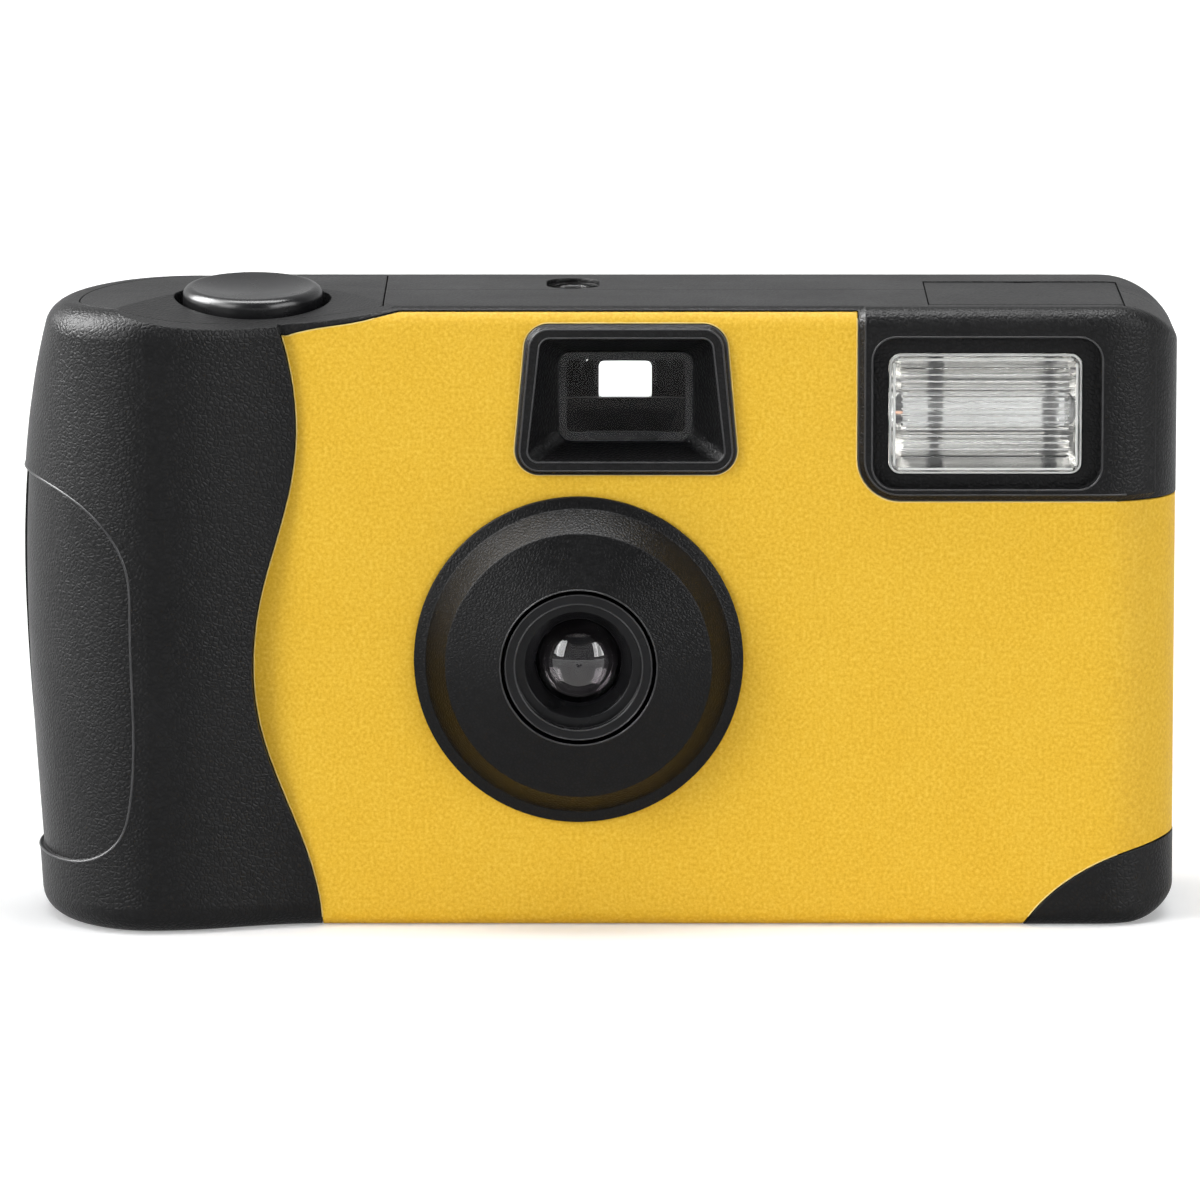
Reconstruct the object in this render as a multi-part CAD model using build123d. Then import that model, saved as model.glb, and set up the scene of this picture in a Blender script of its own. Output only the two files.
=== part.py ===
from build123d import *
import math
import os

# Single-use 35 mm film camera with flash, in millimetres.
# +X is the photograph's right, -Y is the front, +Z is up.
# While it is built, Y is measured from the middle of the shell's depth.
# On export everything moves by frame_shift_y, so that the origin is the middle of the base.

# Driving sizes of the casing
film_height = 35.0
film_floor = 9.9
mechanism_height = 18.1
body_height = film_height + film_floor + mechanism_height
lens_x = -2.4
lens_z = film_floor + film_height / 2
gate_width = 36.0
supply_run = 11.7
supply_x = lens_x + gate_width / 2 + supply_run
battery_run = 19.0
battery_x = supply_x + battery_run
battery_radius = 5.25
battery_side_room = 6.35
right_reach = battery_x + battery_radius + battery_side_room
left_reach = 59.1
body_width = left_reach + right_reach
shell_depth = 28.0
wall = 1.6
end_corner_radius = 8.0
top_corner_radius = 8.0
bottom_corner_radius = 6.5
corner_overhang = 1.2
edge_radius = 1.8
smallest_radius = 0.4
overrun = 3.0
gap = 0.15
seam = 0.12
seat_gap = 0.3
running_gap = 0.05

# Label
label_thickness = 0.4
label_recess = 0.45
label_gap = 0.12
label_stand = 0.05
label_fit = 0.02
label_top_drop = 0.4
label_top_z = body_height - label_top_drop
label_corner_radius = 3.2
foot_corner_radius = 1.2
label_edge_drop = 0.35

# Grip
grip_reach = 4.4
grip_fade = 0.3
grip_centre_x = -45.5
main_left_x = -43.0
grip_end_x = -27.0
grip_left_bottom = -56.9
grip_left_middle = -58.62
grip_left_turn = -57.3
grip_left_top = -55.4
grip_widest_z = 27.0
grip_turn_drop = 8.0
grip_turn_z = body_height - grip_turn_drop
grip_nose_y = -2.2
grip_nose_turn_y = -4.5
grip_nose_top_y = -8.5
grip_shoulder_turn_x = -44.0
grip_shoulder_top_x = -40.0
grip_top_radius = 2.8
grip_roof_drop = 3.6
grip_roof_z = body_height - grip_roof_drop
grip_bottom_radius = 2.6
panel_depth = 0.45
panel_corner_radius = 5.5

# Top cover over the winding mechanism
top_cover_right = -21.9
top_seam_drop = 2.0
top_seam_z = body_height - top_seam_drop
cover_rim_drop = 1.2
cover_rim_wall = 1.0
cover_rim_right = -34.6
scoop_radius = 60.0
scoop_tilt = 5.4
scoop_start_y = 4.0
scoop_x = -34.3

# Shutter button
button_x = -35.3
button_y = -4.0
button_radius = 7.05
button_well_gap = 0.9
button_rim_rise = 0.95
button_rim_z = body_height + button_rim_rise
button_skirt_drop = 3.0
button_skirt_z = body_height - button_skirt_drop
button_dish_radius = 26.0
button_edge_radius = 0.9
button_stem_radius = 1.6
button_tip_drop = 4.8
button_tip_z = body_height - button_tip_drop
button_travel = 1.4
button_lug_width = 3.0
button_lug_reach = 1.5
button_lug_height = 0.8
button_wall = 1.2

# Lens
ring_radius = 16.55
ring_reach = 5.3
ring_side = 0.5
ring_bevel_start = 0.8
ring_bevel_radius = 15.4
ring_face_radius = 13.35
ring_face_drop = 1.4
ring_spigot_radius = 12.8
ring_bore_radius = 7.85
ring_wall = 1.6
ring_seat_depth = 0.7
barrel_radius = 7.35
barrel_step_radius = 6.4
barrel_cone_radius = 5.4
barrel_bore_radius = 4.45
barrel_drop = 0.2
barrel_flange_radius = 10.6
barrel_flange_thickness = 0.8
barrel_cone_depth = 1.4
barrel_seat_depth = 3.9
barrel_back = 1.1
barrel_lip = 0.5
glass_radius = 4.3
glass_edge = 0.9
glass_front_radius = 5.6
glass_back_radius = 14.0
glass_stop_radius = 3.0

# Viewfinder
finder_x = 2.35
finder_bottom_drop = 16.8
finder_bottom_z = body_height - finder_bottom_drop
finder_top_drop = 1.7
finder_top_z = body_height - finder_top_drop
finder_bottom_width = 22.6
finder_top_width = 19.8
finder_reach = 0.8
finder_corner_radius = 2.4
finder_rim = 1.3
finder_edge = 0.4
finder_wall = 1.1
finder_funnel_depth = 4.6
finder_hole_width = 13.7
finder_hole_height = 9.3
finder_hole_drop = 9.5
finder_hole_z = body_height - finder_hole_drop
finder_hole_radius = 1.5
finder_sleeve_depth = 2.2
finder_sleeve_wall = 1.0
objective_thickness = 1.6
objective_curve_radius = 24.0
objective_curve_depth = 0.6
eyepiece_width = 7.9
eyepiece_height = 5.9
eyepiece_drop = 10.1
eyepiece_z = body_height - eyepiece_drop
eyepiece_x = 2.3
eyepiece_radius = 0.9
eyepiece_thickness = 1.4
eyepiece_rim = 1.6
eyepiece_reach = 0.9
eyepiece_corner_radius = 2.0
eyepiece_lip = 0.7

# Flash
flash_block_left_from_end = 32.3
flash_block_left = right_reach - flash_block_left_from_end
flash_block_bottom_drop = 19.5
flash_block_bottom = body_height - flash_block_bottom_drop
flash_block_reach = 0.7
flash_block_corner = 4.2
flash_block_edge = 0.65
flash_recess_left_from_end = 30.9
flash_recess_left = right_reach - flash_recess_left_from_end
flash_recess_right_from_end = 7.9
flash_recess_right = right_reach - flash_recess_right_from_end
flash_recess_bottom_drop = 18.3
flash_recess_bottom = body_height - flash_recess_bottom_drop
flash_recess_top_drop = 2.9
flash_recess_top = body_height - flash_recess_top_drop
flash_recess_depth = 1.5
flash_recess_radius = 2.4
flash_recess_bevel = 0.35
flash_window_width = 19.4
flash_window_height = 12.2
flash_window_from_end = 19.55
flash_window_x = right_reach - flash_window_from_end
flash_window_drop = 10.8
flash_window_z = body_height - flash_window_drop
flash_window_radius = 1.2
flash_window_stand = 0.6
flash_window_flange = 0.9
flash_window_plate = 0.8
flash_rib_count = 7
flash_rib_depth = 0.45
flash_rib_margin = 1.3
flash_window_edge = 0.4
reflector_depth = 5.0
reflector_sheet = 0.4
reflector_neck = 4.4
reflector_end_slope = 2.2
reflector_waist_share = 0.6
reflector_spread_share = 0.7
flash_tube_radius = 1.6
flash_tube_end = 1.5
flash_tube_cap_radius = 1.9

# Battery and its door
battery_y = 0.8
battery_length = 43.6
battery_bottom_drop = 51.5
battery_bottom_z = body_height - battery_bottom_drop
battery_tip_radius = 1.9
battery_tip_height = 0.9
battery_edge = 0.4
battery_spring_room = 1.9
battery_tube_gap = 0.35
battery_tube_wall = 0.9
contact_thickness = 0.4
contact_width = 7.0
contact_leaf_reach = 3.4
contact_leaf_width = 2.4
door_left_from_end = 25.3
door_left = right_reach - door_left_from_end
door_right_from_end = 5.5
door_right = right_reach - door_right_from_end
door_back_y = 6.7
door_pivot_y = -10.9
door_pivot_drop = 0.88
door_pivot_z = body_height - door_pivot_drop
door_knuckle_radius = 0.85
door_thickness = 1.4
door_sink = 0.1
door_trunnion_radius = 0.5
door_trunnion_length = 0.9
door_ledge = 1.0
door_open_angle = 95.0
door_notch_radius = 3.4
door_notch_depth = 0.5

# Film, cartridge and spools
film_y = 10.3
film_thickness = 0.15
film_overlap = 1.9
film_right_x = lens_x + gate_width / 2 + film_overlap
gate_height = 24.0
perforation_pitch = 4.75
perforation_width = 2.0
perforation_height = 2.8
perforation_edge = 2.0
perforation_count = 8
perforation_start_x = -13.2
cartridge_x = -39.6
cartridge_y = -0.9
cartridge_radius = 12.4
cartridge_end = 3.9
cartridge_height = film_height + 2 * cartridge_end
cartridge_sheet = 0.35
cartridge_cap_lip = 0.5
cartridge_mouth_x = -27.6
cartridge_mouth_end = 1.0
cartridge_mouth_height = film_height + 2 * cartridge_mouth_end
cartridge_mouth_thickness = 2.2
cartridge_slot = 0.6
spool_hub_radius = 5.0
spool_core_radius = 5.4
spool_top_rise = 1.3
spool_bottom_rise = 1.2
spool_socket_radius = 3.4
spool_socket_depth = 3.0
spool_key_width = 1.0
spool_key_drop = 0.6
supply_y = 1.0
supply_core_radius = 4.0
supply_flange_radius = 9.0
supply_flange_thickness = 1.0
supply_roll_radius = 8.3
supply_pin_radius = 1.5
supply_end_gap = 0.3
supply_chamber_radius = 10.3
supply_chamber_wall = 0.9

# Film advance wheel
wheel_radius = 14.4
wheel_bottom_drop = 11.8
wheel_bottom_z = body_height - wheel_bottom_drop
wheel_thickness = 3.5
wheel_tooth_count = 48
wheel_tooth_depth = 0.5
wheel_tip_share = 0.3
wheel_root_share = 0.65
wheel_fork_radius = 3.0
wheel_fork_width = 1.2
wheel_fork_depth = 2.4
wheel_dish_radius = 11.4
wheel_dish_depth = 1.4
wheel_spoke_width = 3.0
wheel_spoke_count = 3
wheel_cap_radius = 5.2
thumb_slot_width = 14.8
thumb_recess_width = 18.4
thumb_recess_bottom_drop = 14.4
thumb_recess_bottom = body_height - thumb_recess_bottom_drop
thumb_recess_top_drop = 5.6
thumb_recess_top = body_height - thumb_recess_top_drop
thumb_recess_depth = 1.1
thumb_recess_radius = 3.6
thumb_recess_slope = 0.9
thumb_slot_margin = 0.55

# Sprocket and cam shaft
sprocket_x = -19.8
sprocket_y = 4.45
sprocket_root_radius = 5.75
sprocket_tip_radius = 7.1
sprocket_tooth_count = 8
sprocket_tooth_width = 1.5
sprocket_tooth_tip = 0.8
sprocket_film_drop = 3.5
sprocket_bottom_z = lens_z + film_height / 2 - sprocket_film_drop
sprocket_thickness = 1.6
sprocket_slot_half = 4.3
sprocket_slot_margin = 0.5
shaft_radius = 1.6
shaft_top_drop = 4.1
shaft_top_z = body_height - shaft_top_drop
shaft_tip_radius = 0.75
lobe_radius = 3.3
lobe_bottom_drop = 11.8
lobe_bottom_z = body_height - lobe_bottom_drop
lobe_thickness = 1.5
cam_radius = 4.5
cam_bottom_drop = 7.8
cam_bottom_z = body_height - cam_bottom_drop
cam_thickness = 1.1
cam_notch_width = 2.2
cam_notch_depth = 1.1
finger_reach = 1.24
finger_width = 0.7

# Exposure counter
dial_x = -9.3
dial_y = 2.6
dial_radius = 9.3
dial_bottom_drop = 3.7
dial_bottom_z = body_height - dial_bottom_drop
dial_thickness = 1.0
dial_tooth_count = 30
dial_tooth_depth = 0.5
dial_tip_share = 0.25
dial_root_share = 0.6
dial_post_radius = 1.3
dial_bore_radius = 1.36
dial_post_shoulder = 2.1
dial_post_rise = 0.4
dial_mark_count = 10
dial_mark_radius = 6.9
dial_mark_length = 1.5
dial_mark_width = 0.35
dial_mark_height = 0.15
counter_x = -3.0
counter_y = 5.0
counter_width = 5.4
counter_depth = 8.4
counter_window_thickness = 0.7
counter_window_sink = 0.75
counter_seat = 0.5

# Shutter blade, striker and release lever
blade_pivot_x = -12.1
blade_pivot_above_lens = 11.1
blade_pivot_z = lens_z + blade_pivot_above_lens
blade_thickness = 0.35
blade_y = -10.9
blade_head_radius = 3.3
blade_arm_width = 4.2
blade_hub_radius = 2.4
blade_tail_x = -20.1
blade_tail_drop = 9.8
blade_tail_z = body_height - blade_tail_drop
blade_tail_width = 1.6
blade_swing = 24.0
blade_pin_radius = 0.9
striker_x = -18.6
striker_y = -3.5
striker_length = 7.5
striker_rest_angle = 25.0
striker_swing = 50.0
striker_boss_radius = 1.9
striker_pin_radius = 0.9
striker_bottom_drop = 11.8
striker_bottom_z = body_height - striker_bottom_drop
striker_thickness = 1.5
striker_finger_radius = 0.55
striker_finger_height = 1.2
release_pivot_x = -23.9
release_pivot_drop = 5.9
release_pivot_z = body_height - release_pivot_drop
release_arm_left = -36.6
release_arm_right = -18.4
release_arm_width = 2.2
release_arm_thickness = 1.0
release_pin_radius = 0.7
release_hub_radius = 1.2
release_post_width = 1.8
release_hook_width = 1.5
release_hook_drop = 1.1
release_angle = 6.8

# Main frame
deck_bottom_drop = 13.5
deck_bottom_z = body_height - deck_bottom_drop
deck_thickness = 1.2
deck_left = -46.0
deck_front_y = -9.0
deck_back_y = 9.0
deck_right = -7.2
base_bottom_z = 1.9
base_left = -46.0
base_right = 38.0
base_front_y = -8.0
base_back_y = 11.0
base_thickness = 1.4
frame_wall = 1.1
bracket_gap = 0.4
bracket_height = 1.9
rail_front_y = 8.7
rail_back_y = 9.9
rail_left = -25.4
rail_right = 17.0
rail_rise = 0.25
rail_height = 3.0
tunnel_wall = 1.0
tunnel_front_size = 9.0
shutter_plate_y = -9.5
shutter_plate_thickness = 1.2
shutter_plate_left = -16.0
shutter_plate_right = 8.0
shutter_plate_bottom_below_lens = 9.9
shutter_plate_bottom = lens_z - shutter_plate_bottom_below_lens
shutter_plate_top_above_lens = 16.1
shutter_plate_top = lens_z + shutter_plate_top_above_lens
aperture_radius = 2.0
aperture_plate_thickness = 0.4
aperture_stop_radius = 1.6
cartridge_chamber_gap = 0.5
chamber_open_y = 7.5
supply_open_y = 6.0
aperture_seat_radius = 4.2
pressure_pad_rise = 1.75
pressure_pad_margin = 2.0

# Flash circuit
board_left = 17.5
board_right_from_end = 7.4
board_right = right_reach - board_right_from_end
board_bottom = 4.0
board_top_drop = 20.0
board_top = body_height - board_top_drop
board_thickness = 1.0
board_corner_radius = 2.0
capacitor_x = 12.6
capacitor_y = -6.0
capacitor_radius = 4.9
capacitor_bottom = 4.0
capacitor_length = 30.0
capacitor_edge = 0.5
transformer_from_end = 10.4
transformer_x = right_reach - transformer_from_end
transformer_z = 22.0
transformer_width = 8.0
transformer_height = 9.0
transformer_depth = 4.2
transformer_window = 1.4
winding_corner = 0.9
coil_from_end = 11.4
coil_x = right_reach - coil_from_end
coil_drop = 26.0
coil_z = body_height - coil_drop
coil_radius = 2.2
coil_length = 6.5
coil_cheek = 0.7
sync_x = -13.2
sync_bottom_below_lens = 7.9
sync_bottom = lens_z - sync_bottom_below_lens
sync_height = 9.0
sync_width = 2.2
sync_leaf = 0.3
sync_gap = 0.7
sync_contact_radius = 0.7
lamp_from_end = 27.4
lamp_x = right_reach - lamp_from_end
lamp_drop = 10.6
lamp_z = body_height - lamp_drop
lamp_radius = 1.5
lamp_length = 6.0
lamp_dome = 0.5
lamp_flange = 0.7
lamp_rim = 0.9

# Shares of the casing's width, from its middle, and of its height, chosen by hand from the photograph
grip_edge_shares = [
    (-0.2790, 0.9780),
    (-0.2670, 0.8900),
    (-0.2630, 0.8100),
    (-0.2675, 0.7200),
    (-0.2790, 0.6350),
    (-0.2940, 0.5350),
    (-0.3006, 0.4330),
    (-0.2965, 0.3400),
    (-0.2840, 0.2600),
    (-0.2680, 0.1850),
    (-0.2530, 0.1100),
    (-0.2450, 0.0500),
    (-0.2425, -0.0400),
]
foot_edge_shares = [
    (0.3585, -0.0400),
    (0.3650, 0.0050),
    (0.3830, 0.0460),
    (0.4080, 0.0820),
    (0.4400, 0.1120),
    (0.4720, 0.1290),
    (0.4940, 0.1390),
    (0.5200, 0.1460),
]
shoulder_shares = [
    (-0.2700, 0.9570),
    (-0.2420, 0.9690),
    (-0.2100, 0.9780),
    (-0.1880, 0.9880),
    (-0.1720, 0.9945),
]
panel_shares = [
    (-0.5300, 0.7260),
    (-0.4790, 0.7160),
    (-0.4390, 0.6760),
    (-0.4080, 0.5900),
    (-0.4045, 0.5000),
    (-0.4050, 0.2150),
    (-0.4160, 0.1500),
    (-0.4450, 0.1130),
    (-0.4800, 0.1080),
    (-0.5300, 0.1080),
]

front_reach = ring_reach
back_reach = eyepiece_reach
frame_shift_y = (front_reach - back_reach) / 2
half_depth = shell_depth / 2
half_width = body_width / 2
frame_shift_x = (half_width - right_reach) / 2
grip_front_y = -half_depth - grip_reach
inner_front_y = -half_depth + wall
inner_back_y = half_depth - wall


def plan_prism(face, bottom, top):
    return extrude(Pos(0, 0, bottom) * face, amount=top - bottom)


def front_prism(face, front, back):
    return extrude(Plane.XZ.offset(-back) * face, amount=back - front)


def side_prism(face, left, right):
    return extrude(Plane.YZ.offset(left) * face, amount=right - left)


def rod_z(x, y, bottom, top, radius):
    return Pos(x, y, (bottom + top) / 2) * Cylinder(radius, top - bottom)


def rod_y(x, z, front, back, radius):
    return Pos(x, (front + back) / 2, z) * Rot(90, 0, 0) * Cylinder(radius, back - front)


def rod_x(y, z, left, right, radius):
    return Pos((left + right) / 2, y, z) * Rot(0, 90, 0) * Cylinder(radius, right - left)


def block(left, right, front, back, bottom, top):
    middle = Pos((left + right) / 2, (front + back) / 2, (bottom + top) / 2)
    return middle * Box(right - left, back - front, top - bottom)


def share_points(shares):
    return [(x * body_width, z * body_height) for x, z in shares]


def rounded_face(x, z, width, height, radius):
    return Pos(x, z) * RectangleRounded(width, height, radius)


def main_box(inset):
    left = main_left_x
    end = right_reach - inset
    far = end + corner_overhang
    outline = Pos(far, inset) * Rectangle(far - left, body_height - 2 * inset, align=(Align.MAX, Align.MIN))
    top_corner = outline.vertices().group_by(Axis.X)[-1].sort_by(Axis.Y)[-1]
    outline = fillet(top_corner, top_corner_radius - inset)
    bottom_corner = outline.vertices().group_by(Axis.Y)[0].sort_by(Axis.X)[-1]
    outline = fillet(bottom_corner, bottom_corner_radius - inset)
    plan = Pos(end, 0) * Rectangle(end - left, shell_depth - 2 * inset, align=(Align.MAX, Align.CENTER))
    plan = fillet(plan.vertices().group_by(Axis.X)[-1], end_corner_radius - inset)
    solid = plan_prism(plan, 0, body_height) & front_prism(outline, -half_depth, half_depth)
    upright = solid.edges().filter_by(Axis.Z)
    across = solid.edges().filter_by(Axis.Y).filter_by(lambda edge: edge.center().X < end - edge_radius)
    crease = solid.edges() - upright - across
    return fillet(crease, max(edge_radius - inset, smallest_radius))


def grip_section(height, left, nose_y, shoulder_x, inset):
    front = grip_front_y + inset
    fade_y = -half_depth - grip_fade + inset
    back = half_depth - inset
    nose = EllipticalCenterArc(
        (grip_centre_x, nose_y), grip_centre_x - left - inset, nose_y - front, start_angle=180, arc_size=90
    )
    shoulder = EllipticalCenterArc(
        (shoulder_x, nose_y), shoulder_x - left - inset, back - nose_y, start_angle=90, arc_size=90
    )
    fade = Spline((grip_centre_x, front), (grip_end_x, fade_y), tangents=[(1, 0), (1, 0)])
    flat = Polyline((grip_end_x, fade_y), (top_cover_right, fade_y), (top_cover_right, back), (shoulder_x, back))
    return Pos(0, 0, height) * make_face([*shoulder.edges(), *nose.edges(), *fade.edges(), *flat.edges()])


def grip_top_section(height, inset):
    return grip_section(height, grip_left_top, grip_nose_top_y, grip_shoulder_top_x, inset)


def grip_loft(inset):
    sections = [
        grip_section(0, grip_left_bottom, grip_nose_y, grip_centre_x, inset),
        grip_section(grip_widest_z, grip_left_middle, grip_nose_y, grip_centre_x, inset),
        grip_section(grip_turn_z, grip_left_turn, grip_nose_turn_y, grip_shoulder_turn_x, inset),
        grip_top_section(body_height, inset),
    ]
    return loft(sections)


def bounded_area(shares, corners):
    line = Spline(share_points(shares))
    ends = Polyline([line @ 1, *corners, line @ 0])
    return make_face([*line.edges(), *ends.edges()])


left_limit = -half_width - overrun
right_limit = half_width + overrun
low_limit = -overrun
high_limit = body_height + overrun
front_limit = grip_front_y - overrun
back_limit = half_depth + overrun
inner_top_z = body_height - wall
cover_top_z = body_height

grip_area = bounded_area(
    grip_edge_shares,
    [
        (left_limit, low_limit),
        (left_limit, high_limit),
        (grip_edge_shares[0][0] * body_width, high_limit),
    ],
)
foot_area = bounded_area(foot_edge_shares, [(right_limit + overrun, foot_edge_shares[0][1] * body_height)])
shoulder_left = shoulder_shares[0][0] * body_width - overrun
shoulder_right = shoulder_shares[-1][0] * body_width
shoulder_area = bounded_area(
    shoulder_shares,
    [
        (shoulder_right, high_limit),
        (shoulder_left, high_limit),
        (shoulder_left, shoulder_shares[0][1] * body_height),
    ],
)
panel_area = bounded_area(panel_shares, [])


def flash_area(growth):
    left = flash_block_left - growth
    bottom = flash_block_bottom - growth
    corner = Pos(left, bottom) * Rectangle(
        right_limit - left, high_limit - bottom, align=(Align.MIN, Align.MIN)
    )
    return fillet(corner.vertices().group_by(Axis.X)[0].sort_by(Axis.Y)[0], flash_block_corner + growth)


def finder_area(growth):
    top_z = finder_top_z + growth
    bottom_z = finder_bottom_z - growth
    top_half = finder_top_width / 2 + growth
    bottom_half = finder_bottom_width / 2 + growth
    corners = [
        (finder_x - bottom_half, bottom_z),
        (finder_x + bottom_half, bottom_z),
        (finder_x + top_half, top_z),
        (finder_x - top_half, top_z),
    ]
    face = make_face(Polyline(corners, close=True))
    return fillet(face.vertices(), finder_corner_radius + growth)


def label_area(growth):
    face = Pos(left_limit, low_limit) * Rectangle(
        right_limit - left_limit, label_top_z + growth - low_limit, align=(Align.MIN, Align.MIN)
    )
    face -= Pos(-growth, 0) * grip_area
    face -= Pos(growth, -growth) * foot_area
    face -= Pos(-growth, growth) * shoulder_area
    return face - flash_area(-growth) - finder_area(-growth)


thumb_x = cartridge_x
thumb_z = (thumb_recess_bottom + thumb_recess_top) / 2
thumb_height = thumb_recess_top - thumb_recess_bottom


def thumb_area(growth):
    width = thumb_recess_width + 2 * growth
    return rounded_face(thumb_x, thumb_z, width, thumb_height + 2 * growth, thumb_recess_radius + growth)


def eyepiece_area(growth):
    width = eyepiece_width + 2 * eyepiece_rim + 2 * growth
    height = eyepiece_height + 2 * eyepiece_rim + 2 * growth
    return rounded_face(eyepiece_x, eyepiece_z, width, height, eyepiece_corner_radius + growth)


def label_band(outer, inner, growth):
    band = main_box(outer) - main_box(inner)
    band &= front_prism(label_area(growth), front_limit, back_limit)
    band -= rod_y(lens_x, lens_z, front_limit, 0, ring_spigot_radius - growth)
    band -= front_prism(eyepiece_area(-growth), 0, back_limit)
    band -= front_prism(thumb_area(-growth), 0, back_limit)
    return band - rod_y(lamp_x, lamp_z, 0, back_limit, lamp_radius + lamp_rim - growth)


grip_shell = grip_loft(0) & block(left_limit, right_limit, front_limit, back_limit, 0, body_height)
shell_rims = grip_shell.edges().filter_by(lambda edge: edge.center().X < grip_end_x)
grip_shell = fillet(shell_rims.group_by(Axis.Z)[0], grip_bottom_radius)
shell_rims = grip_shell.edges().filter_by(lambda edge: edge.center().X < grip_end_x)
grip_shell = fillet(shell_rims.group_by(Axis.Z)[-1], grip_top_radius)
grip_shell &= front_prism(grip_area, front_limit, back_limit)

inner_grip = grip_loft(wall) & block(left_limit, right_limit, front_limit, back_limit, wall, grip_roof_z)
inner_grip &= front_prism(Pos(-wall, 0) * grip_area, front_limit, back_limit)
cover_cut = plan_prism(grip_top_section(0, grip_top_radius), grip_roof_z - overrun, high_limit)
scoop_place = Pos(scoop_x, scoop_start_y, cover_top_z) * Rot(scoop_tilt, 0, 0) * Pos(0, 0, scoop_radius)
scoop = scoop_place * Rot(90, 0, 0) * Cylinder(scoop_radius, 2 * shell_depth)
inner = main_box(wall) + inner_grip
casing = main_box(0) - front_prism(grip_area, front_limit, back_limit) + grip_shell

grip_skin = (grip_loft(0) - grip_loft(panel_depth)) & front_prism(panel_area, front_limit, 0)
hatch_front = door_pivot_y - door_knuckle_radius - gap
hatch = block(door_left, door_right, hatch_front, door_back_y, inner_top_z - overrun, high_limit)
flash_block = Pos(0, -flash_block_reach, 0) * main_box(0)
flash_block &= front_prism(flash_area(0), front_limit, inner_front_y)
block_front = flash_block.faces().filter_by(Axis.Y).sort_by(Axis.Y)[0]
block_edges = block_front.edges().filter_by(lambda edge: edge.center().X < flash_block_left + flash_block_corner)
block_edges += block_front.edges().filter_by(Axis.X).sort_by(Axis.Z)[0:1]
flash_block = chamfer(block_edges, flash_block_edge)

finder_front_y = -half_depth - finder_reach
funnel_back_y = finder_front_y + finder_funnel_depth
sleeve_back_y = funnel_back_y + finder_sleeve_depth
finder_bezel = front_prism(finder_area(0), finder_front_y, inner_front_y)
finder_bezel = chamfer(finder_bezel.faces().sort_by(Axis.Y)[0].edges(), finder_edge)


def finder_hole(growth):
    width = finder_hole_width + 2 * growth
    height = finder_hole_height + 2 * growth
    return rounded_face(finder_x, finder_hole_z, width, height, finder_hole_radius + growth)


def funnel(growth, front):
    mouth = Plane.XZ.offset(-front) * finder_area(growth - finder_rim)
    throat = Plane.XZ.offset(-funnel_back_y) * finder_hole(growth)
    return loft([mouth, throat]) + front_prism(finder_hole(growth), funnel_back_y, sleeve_back_y)


ring_front_y = -half_depth - ring_reach
ring_seat_y = -half_depth + ring_seat_depth
window_front_y = -half_depth - flash_block_reach
recess_floor_y = window_front_y + flash_recess_depth
flash_window_area = rounded_face(
    flash_window_x, flash_window_z, flash_window_width, flash_window_height, flash_window_radius
)
flash_recess_area = rounded_face(
    (flash_recess_left + flash_recess_right) / 2,
    (flash_recess_bottom + flash_recess_top) / 2,
    flash_recess_right - flash_recess_left,
    flash_recess_top - flash_recess_bottom,
    flash_recess_radius,
)
flash_recess = front_prism(flash_recess_area, front_limit, recess_floor_y)
flash_recess_mouth = front_prism(
    offset(flash_recess_area, flash_recess_bevel), front_limit, window_front_y + flash_recess_bevel
)

recess_band = main_box(0) - main_box(label_recess)
recess_band &= front_prism(label_area(0), front_limit, back_limit)
hollow = casing - inner - cover_cut - scoop - grip_skin - recess_band - hatch

front_half = block(left_limit, right_limit, front_limit, -seam / 2, low_limit, high_limit)
rear_half = block(left_limit, right_limit, seam / 2, back_limit, low_limit, high_limit)

front_cover = hollow & front_half
front_cover += flash_block - (main_box(wall) & front_half)
front_cover += finder_bezel
front_cover += funnel(finder_wall, -half_depth)
front_cover -= funnel(0, finder_front_y)
front_cover -= flash_recess
front_cover -= front_prism(flash_window_area, front_limit, 0) & block(
    left_limit, right_limit, front_limit, inner_front_y + gap, low_limit, high_limit
)
front_cover -= rod_y(lens_x, lens_z, front_limit, ring_seat_y, ring_spigot_radius)
front_cover -= rod_y(lens_x, lens_z, front_limit, 0, barrel_radius + gap)
trunnion_holes = rod_x(
    door_pivot_y,
    door_pivot_z,
    door_left - door_trunnion_length - gap,
    door_right + door_trunnion_length + gap,
    door_trunnion_radius + running_gap,
)
front_cover -= trunnion_holes
wheel_top_z = wheel_bottom_z + wheel_thickness
front_cover -= rod_z(
    cartridge_x, cartridge_y, wheel_bottom_z - seat_gap, wheel_top_z + seat_gap, wheel_radius + seat_gap
)
front_cover -= rod_z(
    cartridge_x,
    cartridge_y,
    lens_z - cartridge_height / 2 - seat_gap,
    lens_z + cartridge_height / 2 + seat_gap,
    cartridge_radius + gap,
)

eyepiece_back_y = half_depth + eyepiece_reach
eyepiece_hole = rounded_face(eyepiece_x, eyepiece_z, eyepiece_width, eyepiece_height, eyepiece_radius)
eyepiece_bezel = front_prism(eyepiece_area(0), inner_back_y, eyepiece_back_y)
eyepiece_bezel = chamfer(eyepiece_bezel.faces().sort_by(Axis.Y)[-1].edges(), finder_edge)
thumb_slot = block(
    thumb_x - thumb_slot_width / 2,
    thumb_x + thumb_slot_width / 2,
    0,
    back_limit,
    wheel_bottom_z - thumb_slot_margin,
    wheel_top_z + thumb_slot_margin,
)
thumb_floor = Plane.XZ.offset(-(half_depth - thumb_recess_depth)) * thumb_area(-thumb_recess_slope)
thumb_mouth = Plane.XZ.offset(-half_depth) * thumb_area(0)

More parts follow.
